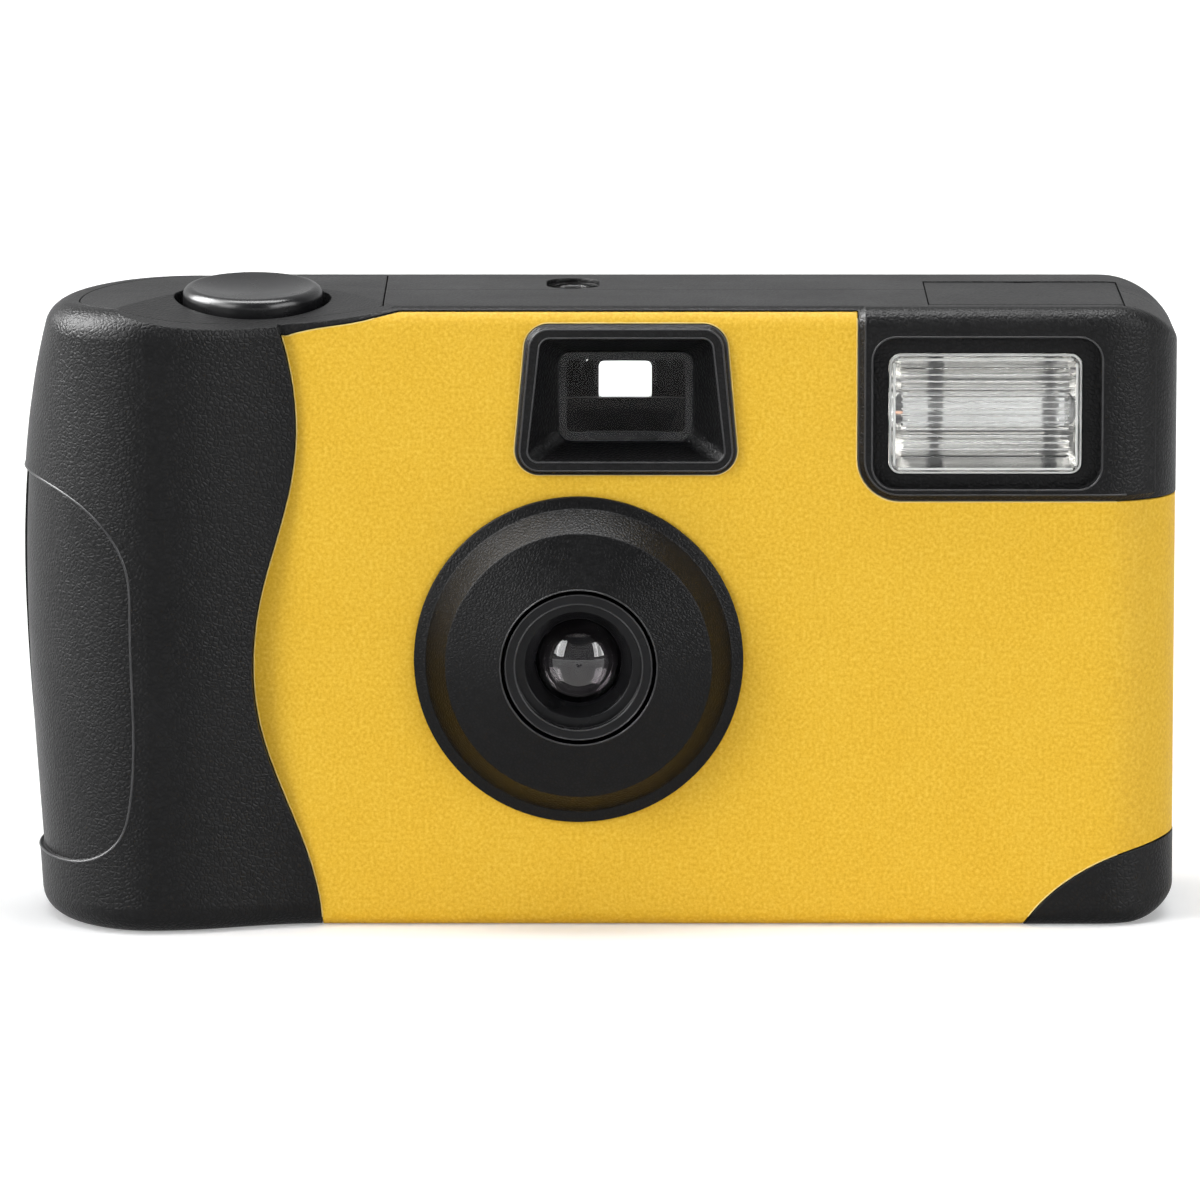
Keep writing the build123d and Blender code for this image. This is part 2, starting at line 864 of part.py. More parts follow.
rear_cover = hollow & rear_half
rear_cover += eyepiece_bezel
rear_cover -= front_prism(eyepiece_hole, 0, back_limit)
rear_cover -= loft([thumb_floor, thumb_mouth])
rear_cover -= thumb_slot
rear_cover -= rod_y(lamp_x, lamp_z, 0, back_limit, lamp_radius + gap)


def lens_revolve(points):
    face = Plane.XY * make_face(Polyline([(radius, y) for radius, y in points], close=True))
    return Pos(lens_x, 0, lens_z) * revolve(face, Axis.Y)


ring_face_y = ring_front_y + ring_face_drop
label_front_y = -half_depth
lens_ring = lens_revolve(
    [
        (ring_bore_radius, ring_front_y),
        (ring_face_radius, ring_face_y),
        (ring_bevel_radius, label_front_y - ring_bevel_start),
        (ring_radius, label_front_y - ring_side),
        (ring_radius, label_front_y),
        (ring_spigot_radius - gap, label_front_y),
        (ring_spigot_radius - gap, ring_seat_y),
        (ring_spigot_radius - ring_wall, ring_seat_y),
        (ring_spigot_radius - ring_wall, ring_face_y + ring_wall),
        (ring_bore_radius + ring_wall, ring_front_y + ring_wall),
        (ring_bore_radius + ring_wall, ring_seat_y),
        (ring_bore_radius, ring_seat_y),
    ]
)

barrel_front_y = ring_front_y + barrel_drop
glass_seat_y = barrel_front_y + barrel_seat_depth
barrel_flange_y = inner_front_y + gap
barrel_back_y = blade_y - seat_gap
lens_holder = lens_revolve(
    [
        (barrel_step_radius, barrel_front_y),
        (barrel_radius, barrel_front_y),
        (barrel_radius, barrel_flange_y),
        (barrel_flange_radius, barrel_flange_y),
        (barrel_flange_radius, barrel_flange_y + barrel_flange_thickness),
        (barrel_radius, barrel_flange_y + barrel_flange_thickness),
        (barrel_radius, barrel_back_y),
        (glass_stop_radius, barrel_back_y),
        (glass_stop_radius, glass_seat_y + glass_edge + barrel_back),
        (glass_radius, glass_seat_y + glass_edge),
        (glass_radius, glass_seat_y),
        (barrel_bore_radius, glass_seat_y - barrel_lip),
        (barrel_cone_radius, barrel_front_y + barrel_cone_depth),
        (barrel_step_radius, barrel_front_y + barrel_cone_depth),
    ]
)


def sagitta(radius, half_chord):
    return radius - math.sqrt(radius * radius - half_chord * half_chord)


glass_edge_radius = glass_radius - running_gap
glass_front_sag = sagitta(glass_front_radius, glass_edge_radius)
glass_back_sag = sagitta(glass_back_radius, glass_stop_radius)
glass_back_y = glass_seat_y + glass_edge
glass_front = ThreePointArc(
    (glass_edge_radius, glass_seat_y),
    (
        glass_edge_radius / 2,
        glass_seat_y - glass_front_sag + sagitta(glass_front_radius, glass_edge_radius / 2),
    ),
    (0, glass_seat_y - glass_front_sag),
)
glass_back = ThreePointArc(
    (0, glass_back_y + glass_back_sag),
    (glass_stop_radius / 2, glass_back_y + glass_back_sag - sagitta(glass_back_radius, glass_stop_radius / 2)),
    (glass_stop_radius - running_gap, glass_back_y),
)
glass_side = Polyline(
    (glass_stop_radius - running_gap, glass_back_y), (glass_edge_radius, glass_back_y), (glass_edge_radius, glass_seat_y)
)
glass_axis = Line((0, glass_seat_y - glass_front_sag), (0, glass_back_y + glass_back_sag))
glass_face = make_face([*glass_front.edges(), *glass_back.edges(), *glass_side.edges(), *glass_axis.edges()])
taking_lens = Pos(lens_x, 0, lens_z) * revolve(glass_face, Axis.Y)

# Top cover and shutter button
cover_bottom_z = top_seam_z
cover_inset = grip_top_radius + gap
skirt_inset = cover_inset + cover_rim_wall
flange_top_z = grip_roof_z - gap
flange_bottom_z = flange_top_z - cover_rim_drop
top_cover = plan_prism(grip_top_section(0, cover_inset), cover_bottom_z, cover_top_z)
cover_rim = plan_prism(grip_top_section(0, cover_inset), flange_bottom_z, cover_bottom_z)
cover_rim += plan_prism(grip_top_section(0, wall + gap), flange_bottom_z, flange_top_z)
cover_rim -= plan_prism(grip_top_section(0, skirt_inset), flange_bottom_z, cover_bottom_z)
cover_rim &= block(left_limit, cover_rim_right, front_limit, back_limit, low_limit, high_limit)
top_cover += cover_rim
top_cover &= block(left_limit, top_cover_right - gap, front_limit, back_limit, low_limit, high_limit)
top_cover -= scoop
button_place = Pos(button_x, button_y, button_rim_z) * Rot(scoop_tilt, 0, 0)
well_radius = button_radius + button_well_gap
top_cover -= button_place * Cylinder(well_radius, 2 * (button_rim_z - button_skirt_z + overrun))

button_skirt = button_rim_z - button_skirt_z
button_drop = button_rim_z - button_tip_z
dish_half = button_radius - button_edge_radius
dish_depth = sagitta(button_dish_radius, dish_half)
button_body = Pos(0, 0, -button_skirt / 2) * Cylinder(button_radius, button_skirt)
button_body = fillet(button_body.edges().group_by(Axis.Z)[-1], button_edge_radius)
button_body -= Pos(0, 0, button_dish_radius - dish_depth) * Sphere(button_dish_radius)
hollow_top = -dish_depth - button_wall
button_hollow = Pos(0, 0, (hollow_top - button_skirt) / 2) * Cylinder(
    button_radius - button_wall, button_skirt + hollow_top
)
button_body -= button_hollow
button_body += Pos(0, 0, (hollow_top - button_drop) / 2) * Cylinder(button_stem_radius, button_drop + hollow_top)
lug_block = Pos(0, 0, -button_skirt + button_lug_height / 2) * Box(
    2 * (button_radius + button_lug_reach), button_lug_width, button_lug_height
)
lug_block -= Pos(0, 0, -button_skirt) * Cylinder(button_radius - button_wall, 2 * button_skirt)
button_body += lug_block
shutter_button = button_place * button_body

# Viewfinder pieces
objective_front_y = funnel_back_y
objective = front_prism(finder_hole(-gap), objective_front_y, objective_front_y + objective_thickness)
objective_ball = Pos(finder_x, objective_front_y - objective_curve_radius + objective_curve_depth, finder_hole_z)
viewfinder_objective = objective - objective_ball * Sphere(objective_curve_radius)
eyepiece_front_y = inner_back_y - eyepiece_thickness
eyepiece_hole_fit = rounded_face(
    eyepiece_x,
    eyepiece_z,
    eyepiece_width - 2 * running_gap,
    eyepiece_height - 2 * running_gap,
    eyepiece_radius - running_gap,
)
eyepiece_flange = rounded_face(
    eyepiece_x,
    eyepiece_z,
    eyepiece_width + 2 * eyepiece_lip,
    eyepiece_height + 2 * eyepiece_lip,
    eyepiece_radius + eyepiece_lip,
)
viewfinder_eyepiece = front_prism(eyepiece_flange, eyepiece_front_y, inner_back_y - running_gap)
viewfinder_eyepiece += front_prism(eyepiece_hole_fit, inner_back_y - running_gap, half_depth)

# Clear window over the exposure counter
counter_hole = Pos(counter_x, counter_y) * SlotOverall(counter_depth, counter_width, rotation=90)
seat_width = counter_width + 2 * counter_seat
seat_depth = counter_depth + 2 * counter_seat
counter_seat_area = Pos(counter_x, counter_y) * SlotOverall(seat_depth, seat_width, rotation=90)
counter_pane = Pos(counter_x, counter_y) * SlotOverall(
    seat_depth - 2 * running_gap, seat_width - 2 * running_gap, rotation=90
)
window_top_z = body_height - counter_window_sink
window_bottom_z = window_top_z - counter_window_thickness
counter_window = plan_prism(counter_pane, window_bottom_z, window_top_z)
rear_cover -= plan_prism(counter_hole, inner_top_z - overrun, high_limit)
rear_cover -= plan_prism(counter_seat_area, inner_top_z - overrun, window_top_z + running_gap)

# Ribbed flash window
window_back_y = recess_floor_y - flash_window_stand
window_plate_y = inner_front_y + gap
flash_window = front_prism(offset(flash_window_area, -gap), window_back_y, window_plate_y + flash_window_plate)
window_rim = flash_window.faces().sort_by(Axis.Y)[0].edges()
flash_window = chamfer(window_rim, flash_window_edge)
flash_window += front_prism(
    offset(flash_window_area, flash_window_flange), window_plate_y + gap, window_plate_y + flash_window_plate
)
rib_span = flash_window_height - 2 * flash_rib_margin
rib_pitch = rib_span / flash_rib_count
for rib in range(flash_rib_count):
    rib_z = flash_window_z - rib_span / 2 + (rib + 1 / 2) * rib_pitch
    groove = rod_x(
        window_plate_y + flash_window_plate,
        rib_z,
        flash_window_x - flash_window_width / 2 + flash_rib_margin,
        flash_window_x + flash_window_width / 2 - flash_rib_margin,
        flash_rib_depth,
    )
    flash_window -= groove

# Film cartridge, its spool and the film
film_middle_z = lens_z
film_bottom_z = film_middle_z - film_height / 2
film_top_z = film_middle_z + film_height / 2
film_back_y = film_y + film_thickness
can_bottom_z = film_middle_z - cartridge_height / 2
can_top_z = film_middle_z + cartridge_height / 2
can_inner_radius = cartridge_radius - cartridge_sheet
hub_hole_radius = spool_hub_radius + running_gap
mouth_front_y = film_y + film_thickness / 2 - cartridge_mouth_thickness / 2
mouth_back_y = mouth_front_y + cartridge_mouth_thickness
slot_front_y = film_y + film_thickness / 2 - cartridge_slot / 2
mouth_bottom_z = film_middle_z - cartridge_mouth_height / 2
mouth_top_z = film_middle_z + cartridge_mouth_height / 2

film_cartridge = rod_z(cartridge_x, cartridge_y, can_bottom_z, can_top_z, cartridge_radius)
film_cartridge += block(
    cartridge_x, cartridge_mouth_x, mouth_front_y, mouth_back_y, mouth_bottom_z, mouth_top_z
)
film_cartridge -= rod_z(
    cartridge_x,
    cartridge_y,
    can_bottom_z + cartridge_sheet,
    can_top_z - cartridge_sheet,
    can_inner_radius - cartridge_cap_lip,
)
film_cartridge -= rod_z(cartridge_x, cartridge_y, low_limit, high_limit, hub_hole_radius)
film_cartridge -= block(
    cartridge_x, rail_left, slot_front_y, slot_front_y + cartridge_slot, film_bottom_z, film_top_z
)

spool_top_z = can_top_z + spool_top_rise
spool_bottom_z = can_bottom_z - spool_bottom_rise
core_bottom_z = can_bottom_z + cartridge_sheet + gap
core_top_z = can_top_z - cartridge_sheet - gap
cartridge_spool = rod_z(cartridge_x, cartridge_y, spool_bottom_z, spool_top_z, spool_hub_radius)
cartridge_spool += rod_z(cartridge_x, cartridge_y, core_bottom_z, core_top_z, spool_core_radius)
for low_z in (core_bottom_z, core_top_z - supply_flange_thickness):
    cartridge_spool += rod_z(
        cartridge_x, cartridge_y, low_z, low_z + supply_flange_thickness, can_inner_radius - cartridge_cap_lip - seat_gap
    )
cartridge_spool -= rod_z(
    cartridge_x, cartridge_y, spool_top_z - spool_socket_depth, spool_top_z, spool_socket_radius
)
cartridge_spool += block(
    cartridge_x - spool_socket_radius,
    cartridge_x + spool_socket_radius,
    cartridge_y - spool_key_width / 2,
    cartridge_y + spool_key_width / 2,
    spool_top_z - spool_socket_depth,
    spool_top_z - spool_key_drop,
)

supply_bottom_z = film_bottom_z - gap - supply_flange_thickness
supply_top_z = film_top_z + gap + supply_flange_thickness
supply_spool = rod_z(supply_x, supply_y, supply_bottom_z, supply_top_z, supply_core_radius)
for low_z in (supply_bottom_z, film_top_z + gap):
    supply_spool += rod_z(supply_x, supply_y, low_z, low_z + supply_flange_thickness, supply_flange_radius)
chamber_bottom_z = supply_bottom_z - supply_end_gap - frame_wall
chamber_top_z = supply_top_z + supply_end_gap + frame_wall
supply_spool += rod_z(supply_x, supply_y, chamber_bottom_z, chamber_top_z, supply_pin_radius)
film_roll = rod_z(supply_x, supply_y, film_bottom_z + gap, film_top_z - gap, supply_roll_radius)
film_roll -= rod_z(supply_x, supply_y, low_limit, high_limit, supply_core_radius + running_gap)

film_path = [
    (cartridge_mouth_x + cartridge_slot, film_y + film_thickness / 2),
    (film_right_x, film_y + film_thickness / 2),
    (supply_x, supply_y + supply_roll_radius + film_thickness),
]
path_tops = [(x, y + film_thickness / 2) for x, y in film_path]
path_bottoms = [(x, y - film_thickness / 2) for x, y in reversed(film_path)]
film_strip = plan_prism(make_face(Polyline(path_tops + path_bottoms, close=True)), film_bottom_z, film_top_z)
perforation_z = film_height / 2 - perforation_edge - perforation_height / 2
for edge_z in (film_middle_z - perforation_z, film_middle_z + perforation_z):
    for hole in range(perforation_count):
        hole_x = perforation_start_x + hole * perforation_pitch
        film_strip -= front_prism(
            Pos(hole_x, edge_z) * Rectangle(perforation_width, perforation_height),
            slot_front_y,
            back_limit,
        )
sprocket_slot = block(
    sprocket_x - sprocket_slot_half,
    sprocket_x + sprocket_slot_half,
    sprocket_y,
    mouth_back_y,
    sprocket_bottom_z - sprocket_slot_margin,
    sprocket_bottom_z + sprocket_thickness + sprocket_slot_margin,
)
film_strip -= sprocket_slot


def rim_points(count, outer, inner, outer_share, inner_share):
    points = []
    for tooth in range(count):
        middle = 2 * math.pi * tooth / count
        step = math.pi / count
        for angle, radius in (
            (middle - step * inner_share, inner),
            (middle - step * outer_share, outer),
            (middle + step * outer_share, outer),
            (middle + step * inner_share, inner),
        ):
            points.append((radius * math.cos(angle), radius * math.sin(angle)))
    return points


def toothed_face(count, outer, inner, outer_share, inner_share):
    points = rim_points(count, outer, inner, outer_share, inner_share)
    return make_face(Polyline(points, close=True))


# Film advance wheel
deck_top_z = deck_bottom_z + deck_thickness
wheel_place = Pos(cartridge_x, cartridge_y)
wheel_rim = toothed_face(
    wheel_tooth_count, wheel_radius, wheel_radius - wheel_tooth_depth, wheel_tip_share, wheel_root_share
)
thumbwheel = plan_prism(wheel_place * wheel_rim, wheel_bottom_z, wheel_top_z)
wheel_dish = Circle(wheel_dish_radius) - Circle(wheel_cap_radius)
for spoke in range(wheel_spoke_count):
    spoke_bar = Pos(wheel_dish_radius / 2, 0) * Rectangle(wheel_dish_radius + wheel_spoke_width, wheel_spoke_width)
    wheel_dish -= Rot(0, 0, spoke * 360 / wheel_spoke_count) * spoke_bar
thumbwheel -= plan_prism(wheel_place * wheel_dish, wheel_top_z - wheel_dish_depth, wheel_top_z)
hub_bottom_z = spool_top_z + gap
thumbwheel += rod_z(cartridge_x, cartridge_y, hub_bottom_z, wheel_bottom_z, spool_hub_radius)
wheel_fork = rod_z(cartridge_x, cartridge_y, hub_bottom_z - wheel_fork_depth, hub_bottom_z, wheel_fork_radius)
wheel_fork -= block(
    left_limit,
    right_limit,
    cartridge_y - spool_key_width / 2 - gap,
    cartridge_y + spool_key_width / 2 + gap,
    hub_bottom_z - wheel_fork_depth,
    hub_bottom_z,
)
thumbwheel += wheel_fork

# Sprocket shaft with its cocking lobe, cam disc and counter finger
shaft_place = Pos(sprocket_x, sprocket_y)
sprocket_face = Circle(sprocket_root_radius)
for tooth in range(sprocket_tooth_count):
    tooth_face = make_face(
        Polyline(
            [
                (sprocket_root_radius - sprocket_tooth_tip, -sprocket_tooth_width / 2),
                (sprocket_tip_radius, -sprocket_tooth_tip / 2),
                (sprocket_tip_radius, sprocket_tooth_tip / 2),
                (sprocket_root_radius - sprocket_tooth_tip, sprocket_tooth_width / 2),
            ],
            close=True,
        )
    )
    sprocket_face += Rot(0, 0, tooth * 360 / sprocket_tooth_count) * tooth_face
sprocket_shaft = plan_prism(shaft_place * sprocket_face, sprocket_bottom_z, sprocket_bottom_z + sprocket_thickness)
bracket_top_z = sprocket_bottom_z - bracket_gap
bracket_bottom_z = bracket_top_z - bracket_height
sprocket_shaft += rod_z(sprocket_x, sprocket_y, bracket_bottom_z + frame_wall, shaft_top_z, shaft_radius)
lobe_face = Circle(shaft_radius) + Pos(0, (lobe_radius - shaft_radius) / 2) * SlotOverall(
    lobe_radius + shaft_radius, 2 * shaft_radius - 2 * gap, rotation=90
)
sprocket_shaft += plan_prism(shaft_place * lobe_face, lobe_bottom_z, lobe_bottom_z + lobe_thickness)
cam_face = Circle(cam_radius) - Pos(0, -cam_radius) * Rectangle(cam_notch_width, 2 * cam_notch_depth)
sprocket_shaft += plan_prism(shaft_place * cam_face, cam_bottom_z, cam_bottom_z + cam_thickness)
dial_top_z = dial_bottom_z + dial_thickness
sprocket_shaft += rod_z(sprocket_x, sprocket_y, shaft_top_z, dial_top_z, shaft_tip_radius)
finger_face = Pos((finger_reach - finger_width / 2) / 2, 0) * SlotOverall(finger_reach + finger_width / 2, finger_width)
sprocket_shaft += plan_prism(shaft_place * finger_face, dial_bottom_z, dial_top_z)

# Exposure counter dial
dial_place = Pos(dial_x, dial_y)
dial_rim = toothed_face(dial_tooth_count, dial_radius, dial_radius - dial_tooth_depth, dial_tip_share, dial_root_share)
counter_dial = plan_prism(dial_place * (dial_rim - Circle(dial_bore_radius)), dial_bottom_z, dial_top_z)
for mark in range(dial_mark_count):
    bar = Pos(dial_mark_radius, 0) * Rectangle(dial_mark_length, dial_mark_width)
    bar = dial_place * Rot(0, 0, mark * 360 / dial_mark_count) * bar
    counter_dial += plan_prism(bar, dial_top_z - dial_mark_height, dial_top_z + dial_mark_height)

# Shutter blade
blade_back_y = blade_y + blade_thickness


def stadium(start, end, start_radius, end_radius):
    along = math.atan2(end[1] - start[1], end[0] - start[0])
    length = math.hypot(end[0] - start[0], end[1] - start[1])
    lean = math.acos((start_radius - end_radius) / length)
    corners = []
    for point, radius, angle in (
        (start, start_radius, along + lean),
        (end, end_radius, along + lean),
        (end, end_radius, along - lean),
        (start, start_radius, along - lean),
    ):
        corners.append((point[0] + radius * math.cos(angle), point[1] + radius * math.sin(angle)))
    face = make_face(Polyline(corners, close=True))
    return face + Pos(*start) * Circle(start_radius) + Pos(*end) * Circle(end_radius)


blade_face = stadium(
    (lens_x, lens_z), (blade_pivot_x, blade_pivot_z), blade_head_radius, blade_arm_width / 2
)
blade_face += stadium(
    (blade_pivot_x, blade_pivot_z), (blade_tail_x, blade_tail_z), blade_hub_radius, blade_tail_width / 2
)
blade_face -= Pos(blade_pivot_x, blade_pivot_z) * Circle(blade_pin_radius + running_gap)
shutter_blade = front_prism(blade_face, blade_y, blade_back_y)

# Striker that kicks the blade
tip_angle = math.radians(striker_rest_angle)
striker_tip = (
    striker_x - striker_length * math.sin(tip_angle),
    striker_y - striker_length * math.cos(tip_angle),
)
striker_face = stadium((striker_x, striker_y), striker_tip, striker_boss_radius, striker_finger_radius)
striker_face -= Pos(striker_x, striker_y) * Circle(striker_pin_radius + running_gap)
striker_top_z = striker_bottom_z + striker_thickness
striker_lever = plan_prism(striker_face, striker_bottom_z, striker_top_z)
striker_lever += rod_z(
    striker_tip[0], striker_tip[1], striker_top_z, striker_top_z + striker_finger_height, striker_finger_radius
)

# Release lever under the button
arm_middle_y = button_y
arm_front_y = arm_middle_y - release_arm_width / 2
arm_back_y = arm_middle_y + release_arm_width / 2
release_lever = block(
    release_arm_left,
    release_arm_right,
    arm_front_y,
    arm_back_y,
    release_pivot_z - release_arm_thickness / 2,
    release_pivot_z + release_arm_thickness / 2,
)
release_lever += rod_y(release_pivot_x, release_pivot_z, arm_front_y, arm_back_y, release_hub_radius)
hook_back_y = sprocket_y - cam_radius - seat_gap
release_lever += block(
    release_arm_right - release_hook_width,
    release_arm_right,
    arm_middle_y,
    hook_back_y,
    release_pivot_z - release_arm_thickness / 2,
    release_pivot_z + release_arm_thickness / 2,
)
release_lever += block(
    release_arm_right - release_hook_width,
    release_arm_right,
    hook_back_y - release_hook_width,
    hook_back_y,
    release_pivot_z - release_arm_thickness / 2 - release_hook_drop,
    release_pivot_z,
)
release_lever -= rod_y(
    release_pivot_x, release_pivot_z, front_limit, back_limit, release_pin_radius + running_gap
)

# Main frame
base_top_z = base_bottom_z + base_thickness
chamber_inner = cartridge_radius + cartridge_chamber_gap
chamber_outer = chamber_inner + frame_wall
main_frame = block(base_left, base_right, base_front_y, base_back_y, base_bottom_z, base_top_z)
main_frame += rod_z(cartridge_x, cartridge_y, base_bottom_z, spool_bottom_z - gap, chamber_outer)
cartridge_wall = rod_z(cartridge_x, cartridge_y, base_bottom_z, deck_bottom_z, chamber_outer)
cartridge_wall -= rod_z(cartridge_x, cartridge_y, can_bottom_z - gap, deck_bottom_z, chamber_inner)
cartridge_wall -= rod_z(cartridge_x, cartridge_y, spool_bottom_z - gap, deck_bottom_z, spool_hub_radius + seat_gap)
cartridge_wall -= block(left_limit, right_limit, chamber_open_y, back_limit, can_bottom_z - gap, deck_bottom_z)
main_frame += cartridge_wall

rail_bottom_z = base_bottom_z
rail_plate = block(rail_left, rail_right, rail_front_y, rail_back_y, rail_bottom_z, deck_top_z)
for rail_z in (film_bottom_z, film_top_z - rail_height):
    rail_plate += block(rail_left, rail_right, rail_back_y, rail_back_y + rail_rise, rail_z, rail_z + rail_height)
main_frame += rail_plate


def tunnel_face(growth, width, height, y):
    return Plane.XZ.offset(-y) * (Pos(lens_x, lens_z) * Rectangle(width + 2 * growth, height + 2 * growth))


shutter_plate_back = shutter_plate_y + shutter_plate_thickness
tunnel_outer = loft(
    [
        tunnel_face(tunnel_wall, tunnel_front_size, tunnel_front_size, shutter_plate_back),
        tunnel_face(tunnel_wall, gate_width, gate_height, rail_front_y),
    ]
)
tunnel_inner = loft(
    [
        tunnel_face(0, tunnel_front_size, tunnel_front_size, shutter_plate_back),
        tunnel_face(0, gate_width, gate_height, rail_back_y),
    ]
)
main_frame += tunnel_outer
main_frame += block(
    shutter_plate_left,
    shutter_plate_right,
    shutter_plate_y,
    shutter_plate_back,
    shutter_plate_bottom,
    shutter_plate_top,
)
main_frame -= tunnel_inner
main_frame -= rod_y(lens_x, lens_z, shutter_plate_y, shutter_plate_back, aperture_radius)
main_frame += rod_y(blade_pivot_x, blade_pivot_z, blade_back_y + gap, shutter_plate_y, blade_hub_radius)
main_frame += rod_y(blade_pivot_x, blade_pivot_z, blade_y - gap, shutter_plate_y, blade_pin_radius)

supply_wall = rod_z(supply_x, supply_y, base_bottom_z, chamber_top_z, supply_chamber_radius + supply_chamber_wall)
supply_wall -= rod_z(
    supply_x, supply_y, chamber_bottom_z + frame_wall, chamber_top_z - frame_wall, supply_chamber_radius
)
supply_wall -= rod_z(supply_x, supply_y, base_top_z, chamber_bottom_z, supply_chamber_radius)
supply_wall -= rod_z(
    supply_x, supply_y, chamber_bottom_z, chamber_top_z, supply_pin_radius + running_gap
)
supply_wall -= block(left_limit, supply_x, supply_open_y, back_limit, chamber_bottom_z, chamber_top_z)
reflector_front_y = window_plate_y + flash_window_plate + running_gap
reflector_back_y = reflector_front_y + reflector_depth
reflector_bottom_z = flash_window_z - flash_window_height / 2 - reflector_sheet
supply_wall -= block(
    left_limit, right_limit, front_limit, reflector_back_y + gap, reflector_bottom_z - seat_gap, chamber_top_z
)
main_frame += supply_wall

battery_top_z = battery_bottom_z + battery_length
tube_inner = battery_radius + battery_tube_gap
tube_outer = tube_inner + battery_tube_wall
tube_floor_z = battery_bottom_z - battery_spring_room - contact_thickness
main_frame += rod_z(battery_x, battery_y, tube_floor_z - frame_wall, deck_bottom_z, tube_outer)
main_frame -= rod_z(battery_x, battery_y, tube_floor_z, deck_bottom_z, tube_inner)
main_frame += block(
    supply_x + supply_chamber_radius + supply_chamber_wall / 2,
    battery_x - tube_inner - battery_tube_wall / 2,
    battery_y - frame_wall / 2,
    battery_y + frame_wall / 2,
    tube_floor_z,
    reflector_bottom_z - seat_gap,
)

deck = plan_prism(Pos(cartridge_x, cartridge_y) * Circle(chamber_outer), deck_bottom_z, deck_top_z)
deck += block(cartridge_x, deck_right, deck_front_y, rail_back_y, deck_bottom_z, deck_top_z)
deck += rod_z(cartridge_x, cartridge_y, deck_top_z, wheel_bottom_z - gap, wheel_cap_radius + frame_wall)
deck -= rod_z(cartridge_x, cartridge_y, deck_bottom_z, wheel_bottom_z, hub_hole_radius)
main_frame += deck
bracket_half = shaft_radius + frame_wall
main_frame += block(
    sprocket_x - bracket_half,
    sprocket_x + bracket_half,
    sprocket_y - bracket_half,
    rail_front_y,
    bracket_bottom_z,
    bracket_top_z,
)
main_frame -= rod_z(
    sprocket_x,
    sprocket_y,
    sprocket_bottom_z - sprocket_slot_margin + gap,
    sprocket_bottom_z + sprocket_thickness + sprocket_slot_margin,
    sprocket_tip_radius + seat_gap,
)
clear_grip = grip_loft(wall + gap) & block(left_limit, right_limit, front_limit, back_limit, wall + gap, high_limit)
clear_grip &= front_prism(Pos(-wall - gap, 0) * grip_area, front_limit, back_limit)
main_frame &= main_box(wall + gap) + clear_grip
main_frame -= rod_z(sprocket_x, sprocket_y, bracket_bottom_z + frame_wall - gap, wheel_top_z, shaft_radius + running_gap)
dial_seat_z = dial_bottom_z - gap
main_frame += rod_z(dial_x, dial_y, deck_top_z, dial_seat_z, dial_post_shoulder)
main_frame += rod_z(dial_x, dial_y, deck_top_z, dial_top_z + dial_post_rise, dial_post_radius)
striker_seat_z = striker_bottom_z - gap
main_frame += rod_z(striker_x, striker_y, deck_top_z, striker_seat_z, striker_boss_radius)
main_frame += rod_z(striker_x, striker_y, deck_top_z, striker_top_z + gap, striker_pin_radius)
post_top_z = release_pivot_z + release_hub_radius
for post_front_y in (arm_front_y - gap - frame_wall, arm_back_y + gap):
    main_frame += block(
        release_pivot_x - release_post_width / 2,
        release_pivot_x + release_post_width / 2,
        post_front_y,
        post_front_y + frame_wall,
        deck_top_z,
        post_top_z,
    )
main_frame += rod_y(
    release_pivot_x, release_pivot_z, arm_front_y - gap - frame_wall, arm_back_y + gap + frame_wall, release_pin_radius
)
chamber_slot = block(
    battery_x - contact_width / 2 - gap,
    battery_x + contact_width / 2 + gap,
    inner_front_y,
    battery_y,
    tube_floor_z,
    tube_floor_z + contact_thickness + gap,
)
main_frame -= chamber_slot

aperture_plate = rod_y(lens_x, lens_z, shutter_plate_back, shutter_plate_back + aperture_plate_thickness, aperture_seat_radius)
aperture_plate -= rod_y(
    lens_x, lens_z, shutter_plate_back, shutter_plate_back + aperture_plate_thickness, aperture_stop_radius
)

# Flash
board_front_y = inner_front_y + gap
board_back_y = board_front_y + board_thickness
flash_board = front_prism(
    rounded_face(
        (board_left + board_right) / 2,
        (board_bottom + board_top) / 2,
        board_right - board_left,
        board_top - board_bottom,
        board_corner_radius,
    ),
    board_front_y,
    board_back_y,
)


def reflector_face(growth, width, height, y):
    face = Pos(flash_window_x, flash_window_z) * Rectangle(width + 2 * growth, height + 2 * growth)
    return Plane.XZ.offset(-y) * face


reflector_middle_y = reflector_front_y + reflector_depth * reflector_waist_share
waist_height = reflector_neck + (flash_window_height - reflector_neck) * reflector_spread_share
back_width = flash_window_width - 2 * reflector_end_slope
waist_width = flash_window_width - 2 * reflector_end_slope * reflector_waist_share


def reflector_solid(growth, back_y):
    return loft(
        [
            reflector_face(growth, flash_window_width, flash_window_height, reflector_front_y),
            reflector_face(growth, waist_width, waist_height, reflector_middle_y),
            reflector_face(growth, back_width, reflector_neck, back_y),
        ],
        ruled=True,
    )


flash_reflector = reflector_solid(reflector_sheet, reflector_back_y)
flash_reflector -= reflector_solid(0, reflector_back_y - reflector_sheet)
tube_y = reflector_back_y - reflector_sheet - flash_tube_radius - gap
tube_half = flash_window_width / 2 + flash_tube_end
flash_reflector -= rod_x(
    tube_y, flash_window_z, flash_window_x - tube_half, flash_window_x + tube_half, flash_tube_radius + running_gap
)
flash_tube = rod_x(
    tube_y, flash_window_z, flash_window_x - tube_half, flash_window_x + tube_half, flash_tube_radius
)
for cap_left in (flash_window_x - tube_half, flash_window_x + tube_half - flash_tube_end):
    flash_tube += rod_x(tube_y, flash_window_z, cap_left, cap_left + flash_tube_end, flash_tube_cap_radius)

